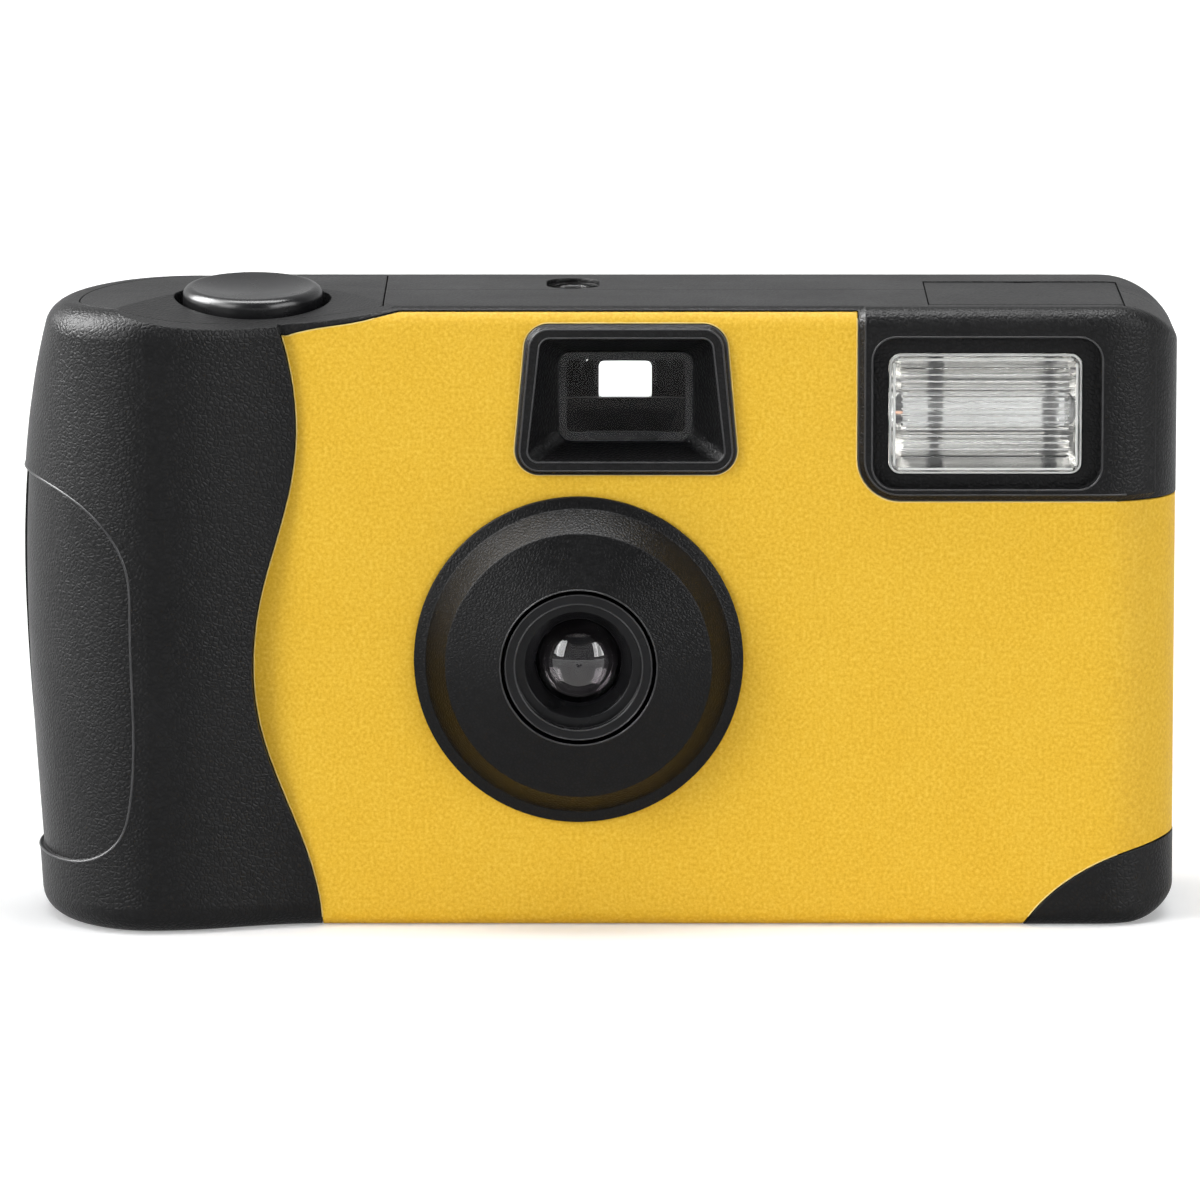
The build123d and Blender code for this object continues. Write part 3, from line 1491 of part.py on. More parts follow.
flash_capacitor = rod_z(
    capacitor_x, capacitor_y, capacitor_bottom, capacitor_bottom + capacitor_length, capacitor_radius
)
flash_capacitor = chamfer(flash_capacitor.edges().filter_by(GeomType.CIRCLE), capacitor_edge)

core_back_y = board_back_y + transformer_depth
flash_transformer = block(
    transformer_x - transformer_width / 2,
    transformer_x + transformer_width / 2,
    board_back_y,
    core_back_y,
    transformer_z - transformer_height / 2,
    transformer_z + transformer_height / 2,
)
winding_height = transformer_height - 2 * transformer_window
flash_transformer -= block(
    transformer_x - transformer_width / 2,
    transformer_x + transformer_width / 2,
    board_back_y + transformer_window,
    core_back_y,
    transformer_z - winding_height / 2,
    transformer_z + winding_height / 2,
)
winding_depth = core_back_y - board_back_y - transformer_window - gap
winding_face = Pos(transformer_x, board_back_y + transformer_window + winding_depth / 2) * RectangleRounded(
    transformer_width - transformer_window, winding_depth, winding_corner
)
flash_transformer += plan_prism(
    winding_face, transformer_z - winding_height / 2, transformer_z + winding_height / 2
)

coil_y = board_back_y + coil_radius
trigger_coil = rod_x(coil_y, coil_z, coil_x - coil_length / 2, coil_x + coil_length / 2, coil_radius - coil_cheek)
for cheek_left in (coil_x - coil_length / 2, coil_x + coil_length / 2 - coil_cheek):
    trigger_coil += rod_x(coil_y, coil_z, cheek_left, cheek_left + coil_cheek, coil_radius)

sync_contact = block(
    sync_x - sync_width / 2,
    sync_x + sync_width / 2,
    shutter_plate_y - sync_leaf,
    shutter_plate_y,
    sync_bottom,
    sync_bottom + sync_height,
)
sync_contact += block(
    sync_x - sync_width / 2,
    sync_x + sync_width / 2,
    shutter_plate_y - sync_gap - 2 * sync_leaf,
    shutter_plate_y,
    sync_bottom,
    sync_bottom + sync_width,
)
sync_contact += block(
    sync_x - sync_width / 2,
    sync_x + sync_width / 2,
    shutter_plate_y - sync_gap - 2 * sync_leaf,
    shutter_plate_y - sync_gap - sync_leaf,
    sync_bottom,
    sync_bottom + sync_height,
)
sync_contact += rod_y(
    sync_x,
    sync_bottom + sync_height - sync_width / 2,
    shutter_plate_y - sync_gap - sync_leaf,
    shutter_plate_y - sync_gap / 2 - sync_leaf,
    sync_contact_radius,
)

lamp_back_y = half_depth + lamp_dome
ready_lamp = rod_y(lamp_x, lamp_z, lamp_back_y - lamp_length, lamp_back_y, lamp_radius)
ready_lamp = chamfer(ready_lamp.edges().sort_by(Axis.Y)[-1], lamp_dome)
ready_lamp += rod_y(
    lamp_x, lamp_z, inner_back_y - lamp_flange - running_gap, inner_back_y - running_gap, lamp_radius + lamp_flange
)

# Battery, its contacts and its door
battery_cell = rod_z(battery_x, battery_y, battery_bottom_z, battery_top_z, battery_radius)
battery_cell = chamfer(battery_cell.edges().filter_by(GeomType.CIRCLE), battery_edge)
battery_tip_z = battery_top_z + battery_tip_height
battery_cell += rod_z(battery_x, battery_y, battery_top_z - battery_edge, battery_tip_z, battery_tip_radius)

tab_front_y = board_back_y + gap
battery_contact_lower = rod_z(
    battery_x, battery_y, tube_floor_z, tube_floor_z + contact_thickness, tube_inner - seat_gap
)
battery_contact_lower += block(
    battery_x - contact_width / 2, battery_x + contact_width / 2, tab_front_y, battery_y, tube_floor_z, tube_floor_z + contact_thickness
)
spring_base_z = tube_floor_z + contact_thickness
leaf_points = [
    (battery_y - contact_leaf_reach, spring_base_z - contact_thickness),
    (battery_y, battery_bottom_z - running_gap),
    (battery_y + contact_leaf_reach, spring_base_z + contact_thickness),
]
leaf_tops = [(y, z) for y, z in leaf_points]
leaf_lows = [(y, z - contact_thickness) for y, z in reversed(leaf_points[1:])]
leaf_face = make_face(Polyline(leaf_tops + leaf_lows, close=True))
battery_contact_lower += side_prism(
    leaf_face, battery_x - contact_leaf_width / 2, battery_x + contact_leaf_width / 2
)

upper_contact_z = battery_tip_z + running_gap
upper_leg_y = reflector_back_y + seat_gap
battery_contact_upper = block(
    battery_x - contact_width / 2,
    battery_x + contact_width / 2,
    upper_leg_y,
    battery_y + battery_tip_radius,
    upper_contact_z,
    upper_contact_z + contact_thickness,
)
battery_contact_upper += block(
    battery_x - contact_width / 2,
    battery_x + contact_width / 2,
    upper_leg_y,
    upper_leg_y + contact_thickness,
    coil_z + coil_radius + seat_gap,
    upper_contact_z + contact_thickness,
)
upper_tab_z = coil_z + coil_radius + seat_gap
battery_contact_upper += block(
    battery_x - contact_width / 2,
    battery_x + contact_width / 2,
    board_back_y,
    upper_leg_y + contact_thickness,
    upper_tab_z,
    upper_tab_z + contact_thickness,
)

door_left_x = door_left + gap
door_right_x = door_right - gap
door_plate = main_box(door_sink) - main_box(door_sink + door_thickness)
battery_door = door_plate & block(
    door_left_x, door_right_x, door_pivot_y, door_back_y - gap, wheel_top_z, high_limit
)
battery_door += rod_x(door_pivot_y, door_pivot_z, door_left_x, door_right_x, door_knuckle_radius)
battery_door += rod_x(
    door_pivot_y,
    door_pivot_z,
    door_left_x - door_trunnion_length,
    door_right_x + door_trunnion_length,
    door_trunnion_radius,
)
door_back_notch = rod_z(
    (door_left + door_right) / 2,
    door_back_y - gap + door_notch_radius - door_notch_depth,
    body_height - door_thickness / 2,
    high_limit,
    door_notch_radius,
)
battery_door -= door_back_notch
ledge_top_z = body_height - door_sink - door_thickness - running_gap
rear_cover += block(
    door_left,
    right_reach - top_corner_radius,
    door_back_y - door_ledge,
    door_back_y + door_ledge,
    ledge_top_z - door_ledge,
    ledge_top_z,
)
pad_left = rail_left + pressure_pad_margin
pad_right = supply_x - supply_chamber_radius + pressure_pad_margin
pressure_pad = block(
    pad_left,
    pad_right,
    inner_back_y - pressure_pad_rise,
    inner_back_y + gap,
    film_bottom_z,
    film_top_z,
)
pressure_pad -= rod_z(
    sprocket_x,
    sprocket_y,
    sprocket_bottom_z - sprocket_slot_margin,
    sprocket_bottom_z + sprocket_thickness + sprocket_slot_margin,
    sprocket_tip_radius + seat_gap,
)
rear_cover += pressure_pad
label_wrap = label_band(label_stand, label_recess - label_fit, -label_gap).solids().sort_by(SortBy.VOLUME)[-1]

pieces = {
    "front_cover": front_cover,
    "rear_cover": rear_cover,
    "top_cover": top_cover,
    "label_wrap": label_wrap,
    "lens_ring": lens_ring,
    "lens_holder": lens_holder,
    "taking_lens": taking_lens,
    "aperture_plate": aperture_plate,
    "viewfinder_objective": viewfinder_objective,
    "viewfinder_eyepiece": viewfinder_eyepiece,
    "counter_window": counter_window,
    "shutter_button": shutter_button,
    "release_lever": release_lever,
    "striker_lever": striker_lever,
    "shutter_blade": shutter_blade,
    "sync_contact": sync_contact,
    "main_frame": main_frame,
    "thumbwheel": thumbwheel,
    "film_cartridge": film_cartridge,
    "cartridge_spool": cartridge_spool,
    "film_strip": film_strip,
    "film_roll": film_roll,
    "supply_spool": supply_spool,
    "sprocket_shaft": sprocket_shaft,
    "counter_dial": counter_dial,
    "flash_window": flash_window,
    "flash_reflector": flash_reflector,
    "flash_tube": flash_tube,
    "flash_board": flash_board,
    "flash_capacitor": flash_capacitor,
    "flash_transformer": flash_transformer,
    "trigger_coil": trigger_coil,
    "ready_lamp": ready_lamp,
    "battery_cell": battery_cell,
    "battery_contact_lower": battery_contact_lower,
    "battery_contact_upper": battery_contact_upper,
    "battery_door": battery_door,
}

os.makedirs("parts", exist_ok=True)
for name, solid in pieces.items():
    export_step(Pos(frame_shift_x, frame_shift_y, 0) * solid, "parts/" + name + ".step")
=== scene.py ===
import math

import bmesh
import bpy
from mathutils import Matrix, Vector


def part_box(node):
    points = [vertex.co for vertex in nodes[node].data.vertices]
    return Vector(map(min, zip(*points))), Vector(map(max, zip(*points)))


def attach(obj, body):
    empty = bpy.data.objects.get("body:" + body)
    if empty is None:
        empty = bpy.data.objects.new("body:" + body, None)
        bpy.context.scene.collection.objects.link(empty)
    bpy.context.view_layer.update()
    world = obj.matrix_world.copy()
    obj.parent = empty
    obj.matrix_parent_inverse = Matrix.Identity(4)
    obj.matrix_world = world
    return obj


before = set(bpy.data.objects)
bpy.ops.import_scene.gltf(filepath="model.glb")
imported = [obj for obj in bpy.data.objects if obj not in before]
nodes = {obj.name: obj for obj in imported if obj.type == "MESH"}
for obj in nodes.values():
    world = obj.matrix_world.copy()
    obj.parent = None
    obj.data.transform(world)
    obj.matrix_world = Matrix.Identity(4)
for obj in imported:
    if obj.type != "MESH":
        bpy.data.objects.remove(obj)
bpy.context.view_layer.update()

MM = 0.001

# Camera, fitted to the photograph
camera_distance = 1.0
camera_elevation = math.radians(9.2)
target_x = 0.3 * MM
target_y = 2.2 * MM
target_z = 31.0 * MM
lens_length = 294.6
sensor_size = 36.0
image_size = 1200.0
shift_right_pixels = 2.5
shift_down_pixels = 1.5

# Room
floor_half = 1.6
floor_colour = (0.86, 0.86, 0.86)
floor_glow = 0.25
floor_far_glow = 0.8
glow_start = 0.2
glow_full = 1.0
daylight_strength = 0.16
daylight_colour = (0.9, 0.95, 1.0, 1.0)
room_white = 1.0
backdrop_share = 0.6
backdrop_start = -0.1
backdrop_full = 0.5
object_middle = (0.0, 0.0, 0.03)

# Card, plastic and edges, with lengths in millimetres
card_gloss = 0.22
plastic_gloss = 0.16
ring_gloss = 0.14
button_gloss = 0.34
edge_gloss = 0.32
clear_edge_gloss = 0.5
plastic_index = 1.5
edge_rounding = 0.22
bevel_samples = 6
cut_depth = 0.45
cut_fade = 0.05
body_dark = (0.001, 0.001, 0.0012)
body_light = (0.0045, 0.0045, 0.005)
# Dark reflections painted on the flash reflector: their places and reach in millimetres, and their
# colour
painted_reflection_places = (33.8, 45.4)
painted_reflection_reach = 1.8
painted_reflection_colour = (0.02, 0.019, 0.018, 1.0)

# Leather grain, as shares of a cell
wander_scale = 0.7
wander_reach = 0.5
crown_start = 0.3

# Patterns, with their scales per metre and depths in millimetres
speckle_scale = 900.0
speckle_share = 0.55
wear_scale = 60.0
fine_scale = 2600.0
fibre_scale = 2900.0
cloud_scale = 150.0
cloud_share = 0.1
felt_scale = 2400.0
felt_stretch = (1.0, 1.0, 1.6)
felt_depth = 0.035

# Rims, in millimetres, with the weld distance in metres
weld_distance = 0.000002
rim_steps = 2
panel_rim_radius = 0.13
panel_rim_sink = 0.06
mouth_rim_radius = 0.1
mouth_rim_sink = 0.05
thin_rim_radius = 0.08
thin_rim_sink = 0.03
window_rim_radius = 0.13
window_rim_sink = 0.03
cover_least_degrees = 25.0
mouth_least_length = 10.0
beyond = 100.0
panel_right = -44.0
panel_back = 14.0
panel_bottom = 4.0
panel_top = 48.0
finder_mouth_side = 6.0
finder_mouth_height = 4.0
finder_mouth_back = -11.0
recess_reach = 3.2
bore_inner = 7.5
bore_outer = 8.2
barrel_inner = 6.0
barrel_outer = 7.6
front_depth = 0.6
window_edge_reach = 1.5


def new_material(name):
    material = bpy.data.materials.new(name)
    material.use_nodes = True
    tree = material.node_tree
    shader = tree.nodes["Principled BSDF"]
    place = tree.nodes.new("ShaderNodeTexCoord")
    return material, tree, shader, place.outputs["Object"]


def noise(tree, place, scale, detail=3.0, roughness=0.55):
    node = tree.nodes.new("ShaderNodeTexNoise")
    node.inputs["Scale"].default_value = scale
    node.inputs["Detail"].default_value = detail
    node.inputs["Roughness"].default_value = roughness
    tree.links.new(place, node.inputs["Vector"])
    return node.outputs["Fac"]


def from_crease(tree, place, scale):
    """Distance from the nearest crease between cells."""
    node = tree.nodes.new("ShaderNodeTexVoronoi")
    node.feature = "DISTANCE_TO_EDGE"
    node.inputs["Scale"].default_value = scale
    tree.links.new(place, node.inputs["Vector"])
    return node.outputs["Distance"]


def stretched(tree, place, scale):
    node = tree.nodes.new("ShaderNodeMapping")
    node.inputs["Scale"].default_value = scale
    tree.links.new(place, node.inputs["Vector"])
    return node.outputs["Vector"]


def ramp(tree, value, stops):
    node = tree.nodes.new("ShaderNodeValToRGB")
    bar = node.color_ramp
    while len(bar.elements) < len(stops):
        bar.elements.new(0.5)
    for element, (position, colour) in zip(bar.elements, stops):
        element.position = position
        element.color = (*colour, 1.0)
    tree.links.new(value, node.inputs["Fac"])
    return node.outputs["Color"]


def span(tree, value, low, high, from_low=0.3, from_high=0.7):
    node = tree.nodes.new("ShaderNodeMapRange")
    node.inputs["From Min"].default_value = from_low
    node.inputs["From Max"].default_value = from_high
    node.inputs["To Min"].default_value = low
    node.inputs["To Max"].default_value = high
    tree.links.new(value, node.inputs["Value"])
    return node.outputs["Result"]


def bump(tree, value, strength, distance, below=None):
    node = tree.nodes.new("ShaderNodeBump")
    node.inputs["Strength"].default_value = strength
    node.inputs["Distance"].default_value = distance
    tree.links.new(value, node.inputs["Height"])
    if below is not None:
        tree.links.new(below, node.inputs["Normal"])
    return node.outputs["Normal"]


def highest(tree, *values):
    """The largest of the given values."""
    result = values[0]
    for value in values[1:]:
        node = tree.nodes.new("ShaderNodeMath")
        node.operation = "MAXIMUM"
        tree.links.new(result, node.inputs[0])
        tree.links.new(value, node.inputs[1])
        result = node.outputs[0]
    return result


def scaled(tree, value, factor):
    node = tree.nodes.new("ShaderNodeMath")
    node.operation = "MULTIPLY"
    tree.links.new(value, node.inputs[0])
    if isinstance(factor, float):
        node.inputs[1].default_value = factor
    else:
        tree.links.new(factor, node.inputs[1])
    return node.outputs[0]


def worn_edge(tree, radius):
    """Normal that rounds every sharp edge over the given radius in millimetres."""
    node = tree.nodes.new("ShaderNodeBevel")
    node.samples = bevel_samples
    node.inputs["Radius"].default_value = radius * MM
    return node.outputs["Normal"]


def mottled(tree, place, shader, dark, light, scale):
    speckle = noise(tree, place, scale, 4.0, 0.6)
    tree.links.new(ramp(tree, speckle, [(0.3, dark), (0.7, light)]), shader.inputs["Base Color"])
    return speckle


def pebbles(tree, place, size):
    """Leather-like cells of the given size in millimetres, from 0 in a crease to 1 on a crown."""
    bent = tree.nodes.new("ShaderNodeVectorMath")
    bent.operation = "MULTIPLY_ADD"
    wander = tree.nodes.new("ShaderNodeTexNoise")
    wander.inputs["Scale"].default_value = wander_scale / (size * MM)
    tree.links.new(place, wander.inputs["Vector"])
    tree.links.new(wander.outputs["Color"], bent.inputs[0])
    bent.inputs[1].default_value = (wander_reach * size * MM,) * 3
    tree.links.new(place, bent.inputs[2])
    edge = from_crease(tree, bent.outputs["Vector"], 1.0 / (size * MM))
    return span(tree, edge, 0.0, 1.0, 0.0, crown_start)


def blended(tree, first, second, share):
    node = tree.nodes.new("ShaderNodeMix")
    node.data_type = "FLOAT"
    node.inputs[0].default_value = share
    tree.links.new(first, node.inputs[2])
    tree.links.new(second, node.inputs[3])
    return node.outputs[0]


def moulded_plastic(name, dark, light, roughness, grain_size, grain_depth, gloss, fine_depth=0.012):
    """Moulded plastic with a leather-like grain of the given cell size in millimetres."""
    material, tree, shader, place = new_material(name)
    grain = pebbles(tree, place, grain_size)
    speckle = noise(tree, place, speckle_scale, 4.0, 0.6)
    tone = blended(tree, grain, speckle, speckle_share)
    tree.links.new(ramp(tree, tone, [(0.25, dark), (0.7, light)]), shader.inputs["Base Color"])
    wear = noise(tree, place, wear_scale)
    tree.links.new(span(tree, wear, roughness - 0.05, roughness + 0.07), shader.inputs["Roughness"])
    fine = noise(tree, place, fine_scale, 2.0)
    normal = bump(tree, fine, 0.5, fine_depth * MM, worn_edge(tree, edge_rounding))
    normal = bump(tree, grain, 0.8, grain_depth * MM, normal)
    tree.links.new(normal, shader.inputs["Normal"])
    shader.inputs["IOR"].default_value = plastic_index
    shader.inputs["Specular IOR Level"].default_value = gloss
    return material


def smooth_plastic(name, dark, light, roughness, wave=0.02, gloss=plastic_gloss):
    """Plain plastic with a faint ripple."""
    material, tree, shader, place = new_material(name)
    mottled(tree, place, shader, dark, light, 400.0)
    wear = noise(tree, place, 180.0, 4.0)
    tree.links.new(span(tree, wear, roughness - 0.04, roughness + 0.06), shader.inputs["Roughness"])
    ripple = noise(tree, place, 500.0, 3.0)
    normal = bump(tree, ripple, 0.35, wave * MM, worn_edge(tree, edge_rounding))
    tree.links.new(normal, shader.inputs["Normal"])
    shader.inputs["IOR"].default_value = plastic_index
    shader.inputs["Specular IOR Level"].default_value = gloss
    return material


def cut_edge(tree, place):
    """1 on the narrow cut faces of the card's front panel, 0 elsewhere."""
    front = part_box("label_wrap")[0][1]
    facing = tree.nodes.new("ShaderNodeSeparateXYZ")
    shape = tree.nodes.new("ShaderNodeNewGeometry")
    tree.links.new(shape.outputs["True Normal"], facing.inputs["Vector"])
    side_on = span(tree, facing.outputs["Y"], 0.0, 1.0, -0.7, -0.5)
    where = tree.nodes.new("ShaderNodeSeparateXYZ")
    tree.links.new(place, where.inputs["Vector"])
    fade_start = front + cut_depth * MM
    near = span(tree, where.outputs["Y"], 1.0, 0.0, fade_start, fade_start + cut_fade * MM)
    both = tree.nodes.new("ShaderNodeMath")
    both.operation = "MULTIPLY"
    tree.links.new(side_on, both.inputs[0])
    tree.links.new(near, both.inputs[1])
    return both.outputs[0]


def card(name):
    """Printed card: warm yellow ink over short paper fibres, with a pale core at its cut edges."""
    material, tree, shader, place = new_material(name)
    fibres = noise(tree, place, fibre_scale, roughness=0.6)
    clouds = noise(tree, place, cloud_scale, roughness=0.5)
    ink = ramp(
        tree,
        blended(tree, fibres, clouds, cloud_share),
        [(0.34, (0.755, 0.425, 0.014)), (0.5, (0.83, 0.495, 0.026)), (0.66, (0.89, 0.575, 0.055))],
    )
    core = ramp(tree, fibres, [(0.3, (0.84, 0.72, 0.42)), (0.7, (0.93, 0.84, 0.6))])
    tint = tree.nodes.new("ShaderNodeMix")
    tint.data_type = "RGBA"
    tree.links.new(cut_edge(tree, place), tint.inputs[0])
    tree.links.new(ink, tint.inputs[6])
    tree.links.new(core, tint.inputs[7])
    tree.links.new(tint.outputs[2], shader.inputs["Base Color"])
    tree.links.new(span(tree, fibres, 0.52, 0.68), shader.inputs["Roughness"])
    shader.inputs["Specular IOR Level"].default_value = card_gloss
    felt = noise(tree, stretched(tree, place, felt_stretch), felt_scale, roughness=0.6)
    normal = bump(tree, felt, 0.5, felt_depth * MM, worn_edge(tree, edge_rounding))
    tree.links.new(normal, shader.inputs["Normal"])
    return material


def clear(name, tint, roughness, wave_scale, wave_depth, index=1.49, mirrored=1.0):
    material, tree, shader, place = new_material(name)
    shader.inputs["Transmission Weight"].default_value = 1.0
    shader.inputs["IOR"].default_value = index
    shader.inputs["Specular Tint"].default_value = (mirrored, mirrored, mirrored, 1.0)
    faint = noise(tree, place, 300.0, 2.0)
    pale = tuple(1.0 - (1.0 - value) * 0.5 for value in tint)
    tree.links.new(ramp(tree, faint, [(0.3, tint), (0.7, pale)]), shader.inputs["Base Color"])
    tree.links.new(span(tree, faint, roughness, roughness + 0.03), shader.inputs["Roughness"])
    ripple = noise(tree, place, wave_scale, 2.0)
    tree.links.new(bump(tree, ripple, 0.4, wave_depth * MM), shader.inputs["Normal"])
    return material


def metal(name, colour, dark, roughness, scratch=(1.0, 1.0, 1.0), scale=700.0, depth=0.01):
    material, tree, shader, place = new_material(name)
    shader.inputs["Metallic"].default_value = 1.0
    lines = noise(tree, stretched(tree, place, scratch), scale, 4.0)
    tree.links.new(ramp(tree, lines, [(0.3, dark), (0.7, colour)]), shader.inputs["Base Color"])
    tree.links.new(span(tree, lines, roughness, roughness + 0.12), shader.inputs["Roughness"])
    tree.links.new(bump(tree, lines, 0.4, depth * MM), shader.inputs["Normal"])
    return material


def reflector_sheet(name):
    """Bright sheet with fine lines along the trough, and a painted dark reflection, broken up, near
    each end.
    """
    material = metal(name, (0.86, 0.85, 0.83), (0.42, 0.41, 0.39), 0.1, (0.25, 1.0, 5.0), 330.0, 0.05)
    tree = material.node_tree
    shader = tree.nodes["Principled BSDF"]
    bright = shader.inputs["Base Color"].links[0].from_socket
    place = tree.nodes.new("ShaderNodeTexCoord").outputs["Object"]
    along = tree.nodes.new("ShaderNodeSeparateXYZ")
    tree.links.new(place, along.inputs["Vector"])
    ragged = noise(tree, stretched(tree, place, (0.5, 1.0, 2.2)), 480.0, 3.0)
    painted_reflections = []
    for reflection_x in painted_reflection_places:
        offset = tree.nodes.new("ShaderNodeMath")
        offset.operation = "SUBTRACT"
        tree.links.new(along.outputs["X"], offset.inputs[0])
        offset.inputs[1].default_value = reflection_x * MM
        size = tree.nodes.new("ShaderNodeMath")
        size.operation = "ABSOLUTE"
        tree.links.new(offset.outputs[0], size.inputs[0])
        wide = scaled(tree, span(tree, size.outputs[0], 1.0, 0.0, 0.0, painted_reflection_reach * MM), ragged)
        painted_reflections.append(span(tree, wide, 0.0, 0.92, 0.27, 0.36))
    # The painted dark reflections replace the bright sheet's colour where they lie
    painted_dark_reflection = tree.nodes.new("ShaderNodeMix")
    painted_dark_reflection.data_type = "RGBA"
    tree.links.new(highest(tree, *painted_reflections), painted_dark_reflection.inputs[0])
    tree.links.new(bright, painted_dark_reflection.inputs[6])
    painted_dark_reflection.inputs[7].default_value = painted_reflection_colour
    tree.links.new(painted_dark_reflection.outputs[2], shader.inputs["Base Color"])
    return material


materials = {
    "body": moulded_plastic("body_plastic", body_dark, body_light, 0.42, 0.46, 0.038, plastic_gloss),
    "cover": moulded_plastic("cover_plastic", body_dark, body_light, 0.44, 0.5, 0.04, plastic_gloss),
    "ring": moulded_plastic("ring_plastic", body_dark, body_light, 0.36, 0.36, 0.024, ring_gloss),
    "wheel": moulded_plastic("wheel_plastic", body_dark, body_light, 0.4, 0.4, 0.015, plastic_gloss),
    "barrel": smooth_plastic("barrel_plastic", (0.004, 0.004, 0.0045), (0.008, 0.008, 0.009), 0.24),
    "button": smooth_plastic(
        "button_plastic", (0.007, 0.007, 0.008), (0.013, 0.013, 0.014), 0.27, 0.03, button_gloss
    ),
    # Lighter than the body plastic: the rims made of it are painted highlights along sharp edges
    "edge": smooth_plastic(
        "edge_painted_highlight", (0.024, 0.024, 0.025), (0.047, 0.047, 0.049), 0.33, gloss=edge_gloss
    ),
    "cut_card": smooth_plastic("cut_card", (0.9, 0.66, 0.16), (0.95, 0.76, 0.3), 0.6),
    # Pale and opaque on the clear window's rim: a painted highlight
    "clear_edge_painted_highlight": smooth_plastic(
        "clear_edge_painted_highlight", (0.62, 0.62, 0.6), (0.8, 0.8, 0.78), 0.12, gloss=clear_edge_gloss
    ),
    "card": card("printed_card"),
    "glass": clear("lens_glass", (0.3, 0.26, 0.29), 0.0, 90.0, 0.0, 1.52),
    "pane": clear("clear_pane", (0.97, 0.98, 0.98), 0.0, 120.0, 0.0, 1.49, 0.15),
    "flash_pane": clear("flash_pane", (0.97, 0.98, 0.97), 0.02, 420.0, 0.05),
    "tube": clear("tube_glass", (0.97, 0.98, 1.0), 0.0, 200.0, 0.01, 1.47),
    "inner_grey": smooth_plastic("inner_grey", (0.045, 0.045, 0.047), (0.062, 0.062, 0.065), 0.5),
    "inner_black": smooth_plastic("inner_black", (0.010, 0.010, 0.011), (0.018, 0.018, 0.019), 0.5),
    "inner_white": smooth_plastic("inner_white", (0.62, 0.61, 0.58), (0.74, 0.73, 0.7), 0.45),
    "blackened": smooth_plastic("blackened_metal", (0.004, 0.004, 0.005), (0.009, 0.009, 0.010), 0.5),
    "steel": metal("spring_steel", (0.62, 0.61, 0.58), (0.45, 0.44, 0.42), 0.25, (1.0, 6.0, 1.0)),
    "copper": metal("copper_wire", (0.74, 0.36, 0.17), (0.5, 0.2, 0.08), 0.3, (1.0, 1.0, 12.0)),
    "mirror": reflector_sheet("bright_sheet"),
    "board": smooth_plastic("circuit_board", (0.015, 0.07, 0.03), (0.03, 0.12, 0.05), 0.4),
    "sleeve": smooth_plastic("capacitor_sleeve", (0.012, 0.018, 0.06), (0.02, 0.03, 0.085), 0.3),
    "ferrite": smooth_plastic("ferrite", (0.03, 0.03, 0.033), (0.055, 0.055, 0.06), 0.6),
    "film": smooth_plastic("film_base", (0.05, 0.026, 0.016), (0.085, 0.046, 0.03), 0.2),
    "lacquer": metal("cartridge_lacquer", (0.42, 0.43, 0.45), (0.3, 0.31, 0.33), 0.35),
    "battery": smooth_plastic("battery_sleeve", (0.10, 0.115, 0.14), (0.15, 0.165, 0.19), 0.3),
    "lamp": clear("lamp_plastic", (0.95, 0.38, 0.08), 0.05, 200.0, 0.01),
}

finish = {
    "front_cover": "body",
    "rear_cover": "body",
    "top_cover": "cover",
    "battery_door": "cover",
    "label_wrap": "card",
    "lens_ring": "ring",
    "lens_holder": "barrel",
    "taking_lens": "glass",
    "aperture_plate": "blackened",
    "viewfinder_objective": "pane",
    "viewfinder_eyepiece": "pane",
    "counter_window": "pane",
    "shutter_button": "button",
    "release_lever": "inner_white",
    "striker_lever": "inner_white",
    "shutter_blade": "blackened",
    "sync_contact": "steel",
    "main_frame": "inner_black",
    "thumbwheel": "wheel",
    "film_cartridge": "lacquer",
    "cartridge_spool": "inner_grey",
    "film_strip": "film",
    "film_roll": "film",
    "supply_spool": "inner_grey",
    "sprocket_shaft": "inner_white",
    "counter_dial": "inner_white",
    "flash_window": "flash_pane",
    "flash_reflector": "mirror",
    "flash_tube": "tube",
    "flash_board": "board",
    "flash_capacitor": "sleeve",
    "flash_transformer": "ferrite",
    "trigger_coil": "copper",
    "ready_lamp": "lamp",
    "battery_cell": "battery",
    "battery_contact_lower": "steel",
    "battery_contact_upper": "steel",
}
for node_name, material_name in finish.items():
    piece = nodes[node_name]
    for slot in piece.material_slots:
        slot.material = materials[material_name]


# Rounded rims along sharp edges; those of edge plastic and the flash window's rim are lighter than
# their parts, as painted highlights
def sharp_edges(shape, keep, least_angle):
    picked = []
    for edge in shape.edges:
        if len(edge.link_faces) != 2 or not edge.is_convex:
            continue
        if edge.calc_face_angle() < least_angle:
            continue
        if keep((edge.verts[0].co + edge.verts[1].co) / 2):
            picked.append(edge)
    return picked


def walk(start, around, used):
    """Vertices met when the edges are followed from the start until they end or close."""
    path = [start]
    while True:
        onward = [edge for edge in around[path[-1]] if edge not in used]
        if not onward:
            return path
        used.add(onward[0])
        path.append(onward[0].other_vert(path[-1]))


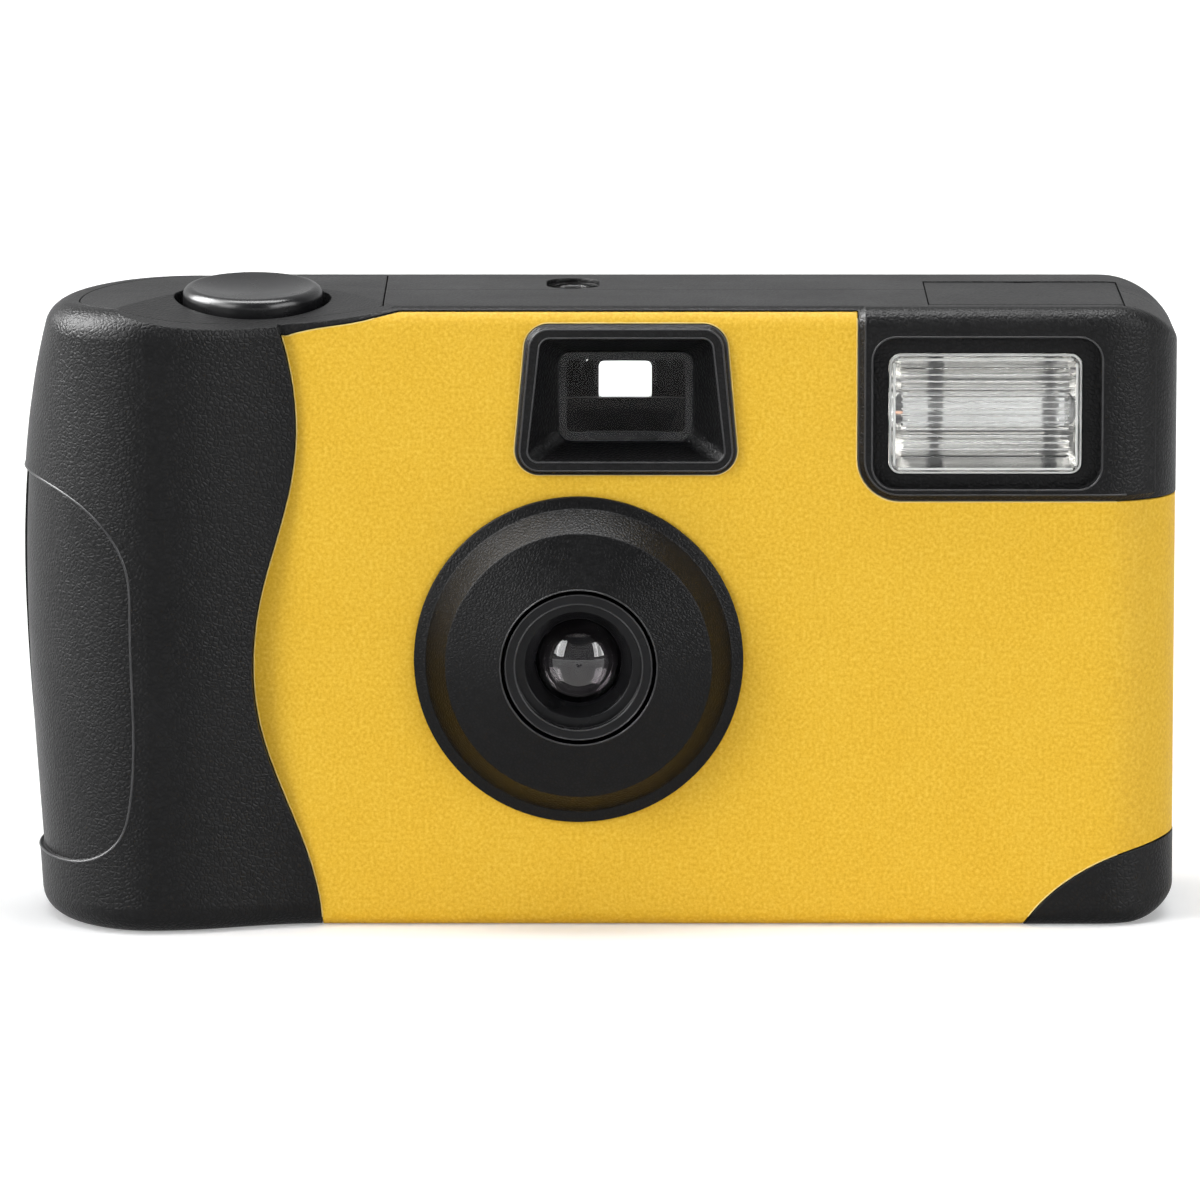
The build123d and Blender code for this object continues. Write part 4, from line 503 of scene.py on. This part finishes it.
def rim(
    name, node_name, keep, radius, sink, material_name, least_degrees=30.0, least_length=3.0
):
    """Thin round bead along a node's sharp outer edges where keep(point) is true, in millimetres."""
    shape = bmesh.new()
    shape.from_mesh(nodes[node_name].data)
    bmesh.ops.remove_doubles(shape, verts=shape.verts, dist=weld_distance)
    shape.normal_update()
    picked = sharp_edges(shape, keep, math.radians(least_degrees))
    around = {}
    for edge in picked:
        for vertex in edge.verts:
            around.setdefault(vertex, []).append(edge)
    ends = [vertex for vertex in around if len(around[vertex]) == 1]
    used = set()
    curve = bpy.data.curves.new(name, "CURVE")
    curve.dimensions = "3D"
    curve.bevel_depth = radius * MM
    curve.bevel_resolution = rim_steps
    curve.use_fill_caps = True
    for start in ends + list(around):
        path = walk(start, around, used)
        length = sum((b.co - a.co).length for a, b in zip(path, path[1:]))
        if length < least_length * MM:
            continue
        closed = path[0] == path[-1]
        if closed:
            path = path[:-1]
        line = curve.splines.new("POLY")
        line.points.add(len(path) - 1)
        line.use_cyclic_u = closed
        for point, vertex in zip(line.points, path):
            normal = Vector()
            for edge in around[vertex]:
                for face in edge.link_faces:
                    normal += face.normal
            point.co = (*(vertex.co - normal.normalized() * sink * MM), 1.0)
    shape.free()
    piece = bpy.data.objects.new(name, curve)
    bpy.context.collection.objects.link(piece)
    curve.materials.append(materials[material_name])
    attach(piece, "camera")


def inside(low, high):
    """Test for points in a box, with corners in millimetres of the shared frame."""
    return lambda point: all(a * MM <= value <= b * MM for value, a, b in zip(point, low, high))


finder_low = [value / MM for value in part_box("viewfinder_objective")[0]]
finder_high = [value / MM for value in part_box("viewfinder_objective")[1]]
window_low = [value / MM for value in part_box("flash_window")[0]]
window_high = [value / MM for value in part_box("flash_window")[1]]
case_low = [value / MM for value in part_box("front_cover")[0]]
panel_test = inside(
    (case_low[0] - 1.0, -beyond, panel_bottom),
    (panel_right, panel_back, panel_top),
)
finder_test = inside(
    (finder_low[0] - finder_mouth_side, case_low[1] - 1.0, finder_low[2] - finder_mouth_height),
    (finder_high[0] + finder_mouth_side, finder_mouth_back, finder_high[2] + finder_mouth_height),
)
recess_test = inside(
    (window_low[0] - recess_reach, case_low[1] - 1.0, window_low[2] - recess_reach),
    (window_high[0] + recess_reach, window_low[1] - 0.1, window_high[2] + recess_reach),
)
# The grip panel, finder mouth and flash recess rims take the lighter edge plastic, a painted
# highlight
rim(
    "grip_panel_rim", "front_cover", panel_test,
    panel_rim_radius, panel_rim_sink, "edge", cover_least_degrees,
)
rim(
    "finder_mouth_rim", "front_cover", finder_test,
    mouth_rim_radius, mouth_rim_sink, "edge", cover_least_degrees, mouth_least_length,
)
rim(
    "flash_recess_rim", "front_cover", recess_test,
    mouth_rim_radius, mouth_rim_sink, "edge", cover_least_degrees, mouth_least_length,
)


def around_lens(low, high, front, back):
    """Test for points at a distance from the lens axis, and between two depths, in millimetres."""
    middle = (Vector(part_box("taking_lens")[0]) + Vector(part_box("taking_lens")[1])) / 2

    def test(point):
        reach = math.hypot(point.x - middle.x, point.z - middle.z)
        return low * MM <= reach <= high * MM and front * MM <= point.y <= back * MM

    return test


def window_outline(point):
    """Test for points on the outline of the flash window's front face."""
    from_side = min(point.x / MM - window_low[0], window_high[0] - point.x / MM)
    from_end = min(point.z / MM - window_low[2], window_high[2] - point.z / MM)
    return min(from_side, from_end) < window_edge_reach and point.y / MM < window_low[1] + front_depth


ring_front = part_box("lens_ring")[0][1] / MM
holder_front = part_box("lens_holder")[0][1] / MM
label_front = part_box("label_wrap")[0][1] / MM
bore_test = around_lens(bore_inner, bore_outer, ring_front - 1.0, ring_front + front_depth)
barrel_test = around_lens(barrel_inner, barrel_outer, holder_front - 1.0, holder_front + front_depth)
label_test = inside((case_low[0], label_front - 1.0, -1.0), (beyond, label_front + 0.2, beyond))
# The ring bore and barrel rims take the lighter edge plastic, a painted highlight
rim("ring_bore_rim", "lens_ring", bore_test, thin_rim_radius, thin_rim_sink, "edge")
rim("barrel_rim", "lens_holder", barrel_test, thin_rim_radius, thin_rim_sink, "edge")
# The flash window's rim is pale and opaque, a painted highlight along its edge
rim(
    "flash_window_rim", "flash_window", window_outline,
    window_rim_radius, window_rim_sink, "clear_edge_painted_highlight",
)
rim(
    "label_cut_rim", "label_wrap", label_test,
    thin_rim_radius, thin_rim_sink, "cut_card",
)


# Baffle behind the viewfinder's front glass
def rounded_outline(left, right, bottom, top, radius, steps=6):
    """Corners of a rounded rectangle as quarter arcs, anticlockwise."""
    points = []
    for corner, (x, z) in enumerate(
        [
            (right - radius, top - radius),
            (left + radius, top - radius),
            (left + radius, bottom + radius),
            (right - radius, bottom + radius),
        ]
    ):
        for step in range(steps + 1):
            angle = math.radians(90.0 * (corner + step / steps))
            points.append((x + radius * math.cos(angle), z + radius * math.sin(angle)))
    return points


def framed_plate(name, outer, inner, front, back, material_name):
    """Flat plate between two outlines with the same number of points, in millimetres."""
    count = len(outer)
    points = [(x * MM, y * MM, z * MM) for y in (front, back) for x, z in (*outer, *inner)]
    faces = []
    for here in range(count):
        after = (here + 1) % count
        faces.append((here, after, count + after, count + here))
        faces.append((2 * count + after, 2 * count + here, 3 * count + here, 3 * count + after))
        faces.append((after, here, 2 * count + here, 2 * count + after))
        faces.append((count + here, count + after, 3 * count + after, 3 * count + here))
    mesh = bpy.data.meshes.new(name)
    mesh.from_pydata(points, [], faces)
    mesh.materials.append(materials[material_name])
    piece = bpy.data.objects.new(name, mesh)
    bpy.context.collection.objects.link(piece)
    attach(piece, "camera")


baffle_gap = 0.1
baffle_thickness = 0.3
baffle_overlap = 0.2
baffle_corner = 1.0
opening_corner = 0.6
opening_left = -3.3
opening_right = 8.6
opening_bottom = 49.7
opening_top = 57.1
framed_plate(
    "finder_baffle",
    rounded_outline(
        finder_low[0] - baffle_overlap,
        finder_high[0] + baffle_overlap,
        finder_low[2] - baffle_overlap,
        finder_high[2] + baffle_overlap,
        baffle_corner,
    ),
    rounded_outline(opening_left, opening_right, opening_bottom, opening_top, opening_corner),
    finder_high[1] + baffle_gap,
    finder_high[1] + baffle_gap + baffle_thickness,
    "inner_black",
)


# Floor, backdrop and light
def stage_material(name, colour):
    """Matt paint of one colour."""
    material = bpy.data.materials.new(name)
    material.use_nodes = True
    tree = material.node_tree
    shader = tree.nodes["Principled BSDF"]
    shader.inputs["Base Color"].default_value = (*colour, 1.0)
    shader.inputs["Roughness"].default_value = 0.9
    shader.inputs["Specular IOR Level"].default_value = 0.1
    return material, tree, shader


def plane(name, corners, material):
    mesh = bpy.data.meshes.new(name)
    mesh.from_pydata(corners, [], [(0, 1, 2, 3)])
    mesh.materials.append(material)
    piece = bpy.data.objects.new(name, mesh)
    bpy.context.collection.objects.link(piece)


floor_material, floor_tree, floor_shader = stage_material("floor_paint", floor_colour)
floor_rays = floor_tree.nodes.new("ShaderNodeLightPath").outputs
# The floor glows for the rays that show it, and more so far away
seen = highest(
    floor_tree,
    floor_rays["Is Camera Ray"],
    floor_rays["Is Glossy Ray"],
    floor_rays["Is Transmission Ray"],
)
floor_shader.inputs["Emission Color"].default_value = (1.0, 1.0, 1.0, 1.0)
far = floor_tree.nodes.new("ShaderNodeVectorMath")
far.operation = "LENGTH"
floor_tree.links.new(floor_tree.nodes.new("ShaderNodeTexCoord").outputs["Object"], far.inputs[0])
glow = span(floor_tree, far.outputs["Value"], floor_glow, floor_far_glow, glow_start, glow_full)
floor_tree.links.new(scaled(floor_tree, seen, glow), floor_shader.inputs["Emission Strength"])
plane(
    "floor",
    [
        (-floor_half, -floor_half, 0.0),
        (floor_half, -floor_half, 0.0),
        (floor_half, floor_half, 0.0),
        (-floor_half, floor_half, 0.0),
    ],
    floor_material,
)

# World: a white backdrop behind the object, and a dim room on the camera's side of it
world = bpy.data.worlds.new("studio")
bpy.context.scene.world = world
world.use_nodes = True
world_tree = world.node_tree
ground = world_tree.nodes["Background"]
ground.inputs["Color"].default_value = daylight_colour
ground.inputs["Strength"].default_value = daylight_strength
white = world_tree.nodes.new("ShaderNodeBackground")
white.inputs["Color"].default_value = (1.0, 1.0, 1.0, 1.0)
white.inputs["Strength"].default_value = room_white
direction = world_tree.nodes.new("ShaderNodeTexCoord").outputs["Generated"]
parts = world_tree.nodes.new("ShaderNodeSeparateXYZ")
world_tree.links.new(direction, parts.inputs["Vector"])
behind = span(world_tree, parts.outputs["Y"], 0.0, 1.0, backdrop_start, backdrop_full)
rays = world_tree.nodes.new("ShaderNodeLightPath").outputs
reflected = scaled(world_tree, scaled(world_tree, rays["Is Glossy Ray"], behind), backdrop_share)
share = highest(world_tree, rays["Is Camera Ray"], rays["Is Transmission Ray"], reflected)
choose = world_tree.nodes.new("ShaderNodeMixShader")
world_tree.links.new(share, choose.inputs["Fac"])
world_tree.links.new(ground.outputs[0], choose.inputs[1])
world_tree.links.new(white.outputs[0], choose.inputs[2])
world_tree.links.new(choose.outputs[0], world_tree.nodes["World Output"].inputs["Surface"])


def soft_box(name, place, width, height, power, diffuse=True, glossy=True):
    """Rectangular lamp in metres and watts that faces the object."""
    lamp = bpy.data.lights.new(name, "AREA")
    lamp.shape = "RECTANGLE"
    lamp.size = width
    lamp.size_y = height
    lamp.energy = power
    piece = bpy.data.objects.new(name, lamp)
    turn = (Vector(object_middle) - Vector(place)).to_track_quat("-Z", "Y")
    piece.matrix_world = Matrix.Translation(place) @ turn.to_matrix().to_4x4()
    piece.visible_diffuse = diffuse
    piece.visible_glossy = glossy
    bpy.context.collection.objects.link(piece)


soft_box("key_light", (-0.95, -0.66, 0.55), 0.5, 0.75, 8.5)
soft_box("fill_light", (0.85, -0.8, 0.42), 0.35, 0.6, 3.4)
soft_box("top_light", (0.0, -0.02, 1.1), 1.0, 0.35, 8.2)
# Lights the matt surfaces of the back, and is in no reflection
soft_box("back_light", (0.45, 1.05, 0.6), 0.8, 0.6, 5.5, glossy=False)
# Seen in reflections only
soft_box("left_window", (-1.08, 0.14, 0.84), 1.05, 1.1, 115.0, diffuse=False)
soft_box("right_window", (1.07, -0.56, 0.52), 0.6, 0.8, 10.0, diffuse=False)
soft_box("top_window", (0.0, -0.1, 1.25), 1.2, 0.5, 26.0, diffuse=False)
soft_box("tall_pane_left", (-0.7, -0.88, 0.46), 0.36, 0.7, 7.0, diffuse=False)
soft_box("tall_pane_right", (0.68, -0.9, 0.4), 0.18, 0.56, 2.6, diffuse=False)

# Camera
camera_data = bpy.data.cameras.new("camera")
camera_data.lens = lens_length
camera_data.sensor_width = sensor_size
camera_data.shift_x = -shift_right_pixels / image_size
camera_data.shift_y = shift_down_pixels / image_size
camera = bpy.data.objects.new("camera", camera_data)
away = Vector((0.0, -math.cos(camera_elevation), math.sin(camera_elevation)))
target = Vector((target_x, target_y, target_z))
camera.matrix_world = (
    Matrix.Translation(target + away * camera_distance)
    @ (-away).to_track_quat("-Z", "Y").to_matrix().to_4x4()
)
bpy.context.collection.objects.link(camera)
bpy.context.scene.camera = camera
bpy.context.scene.view_settings.view_transform = "Standard"
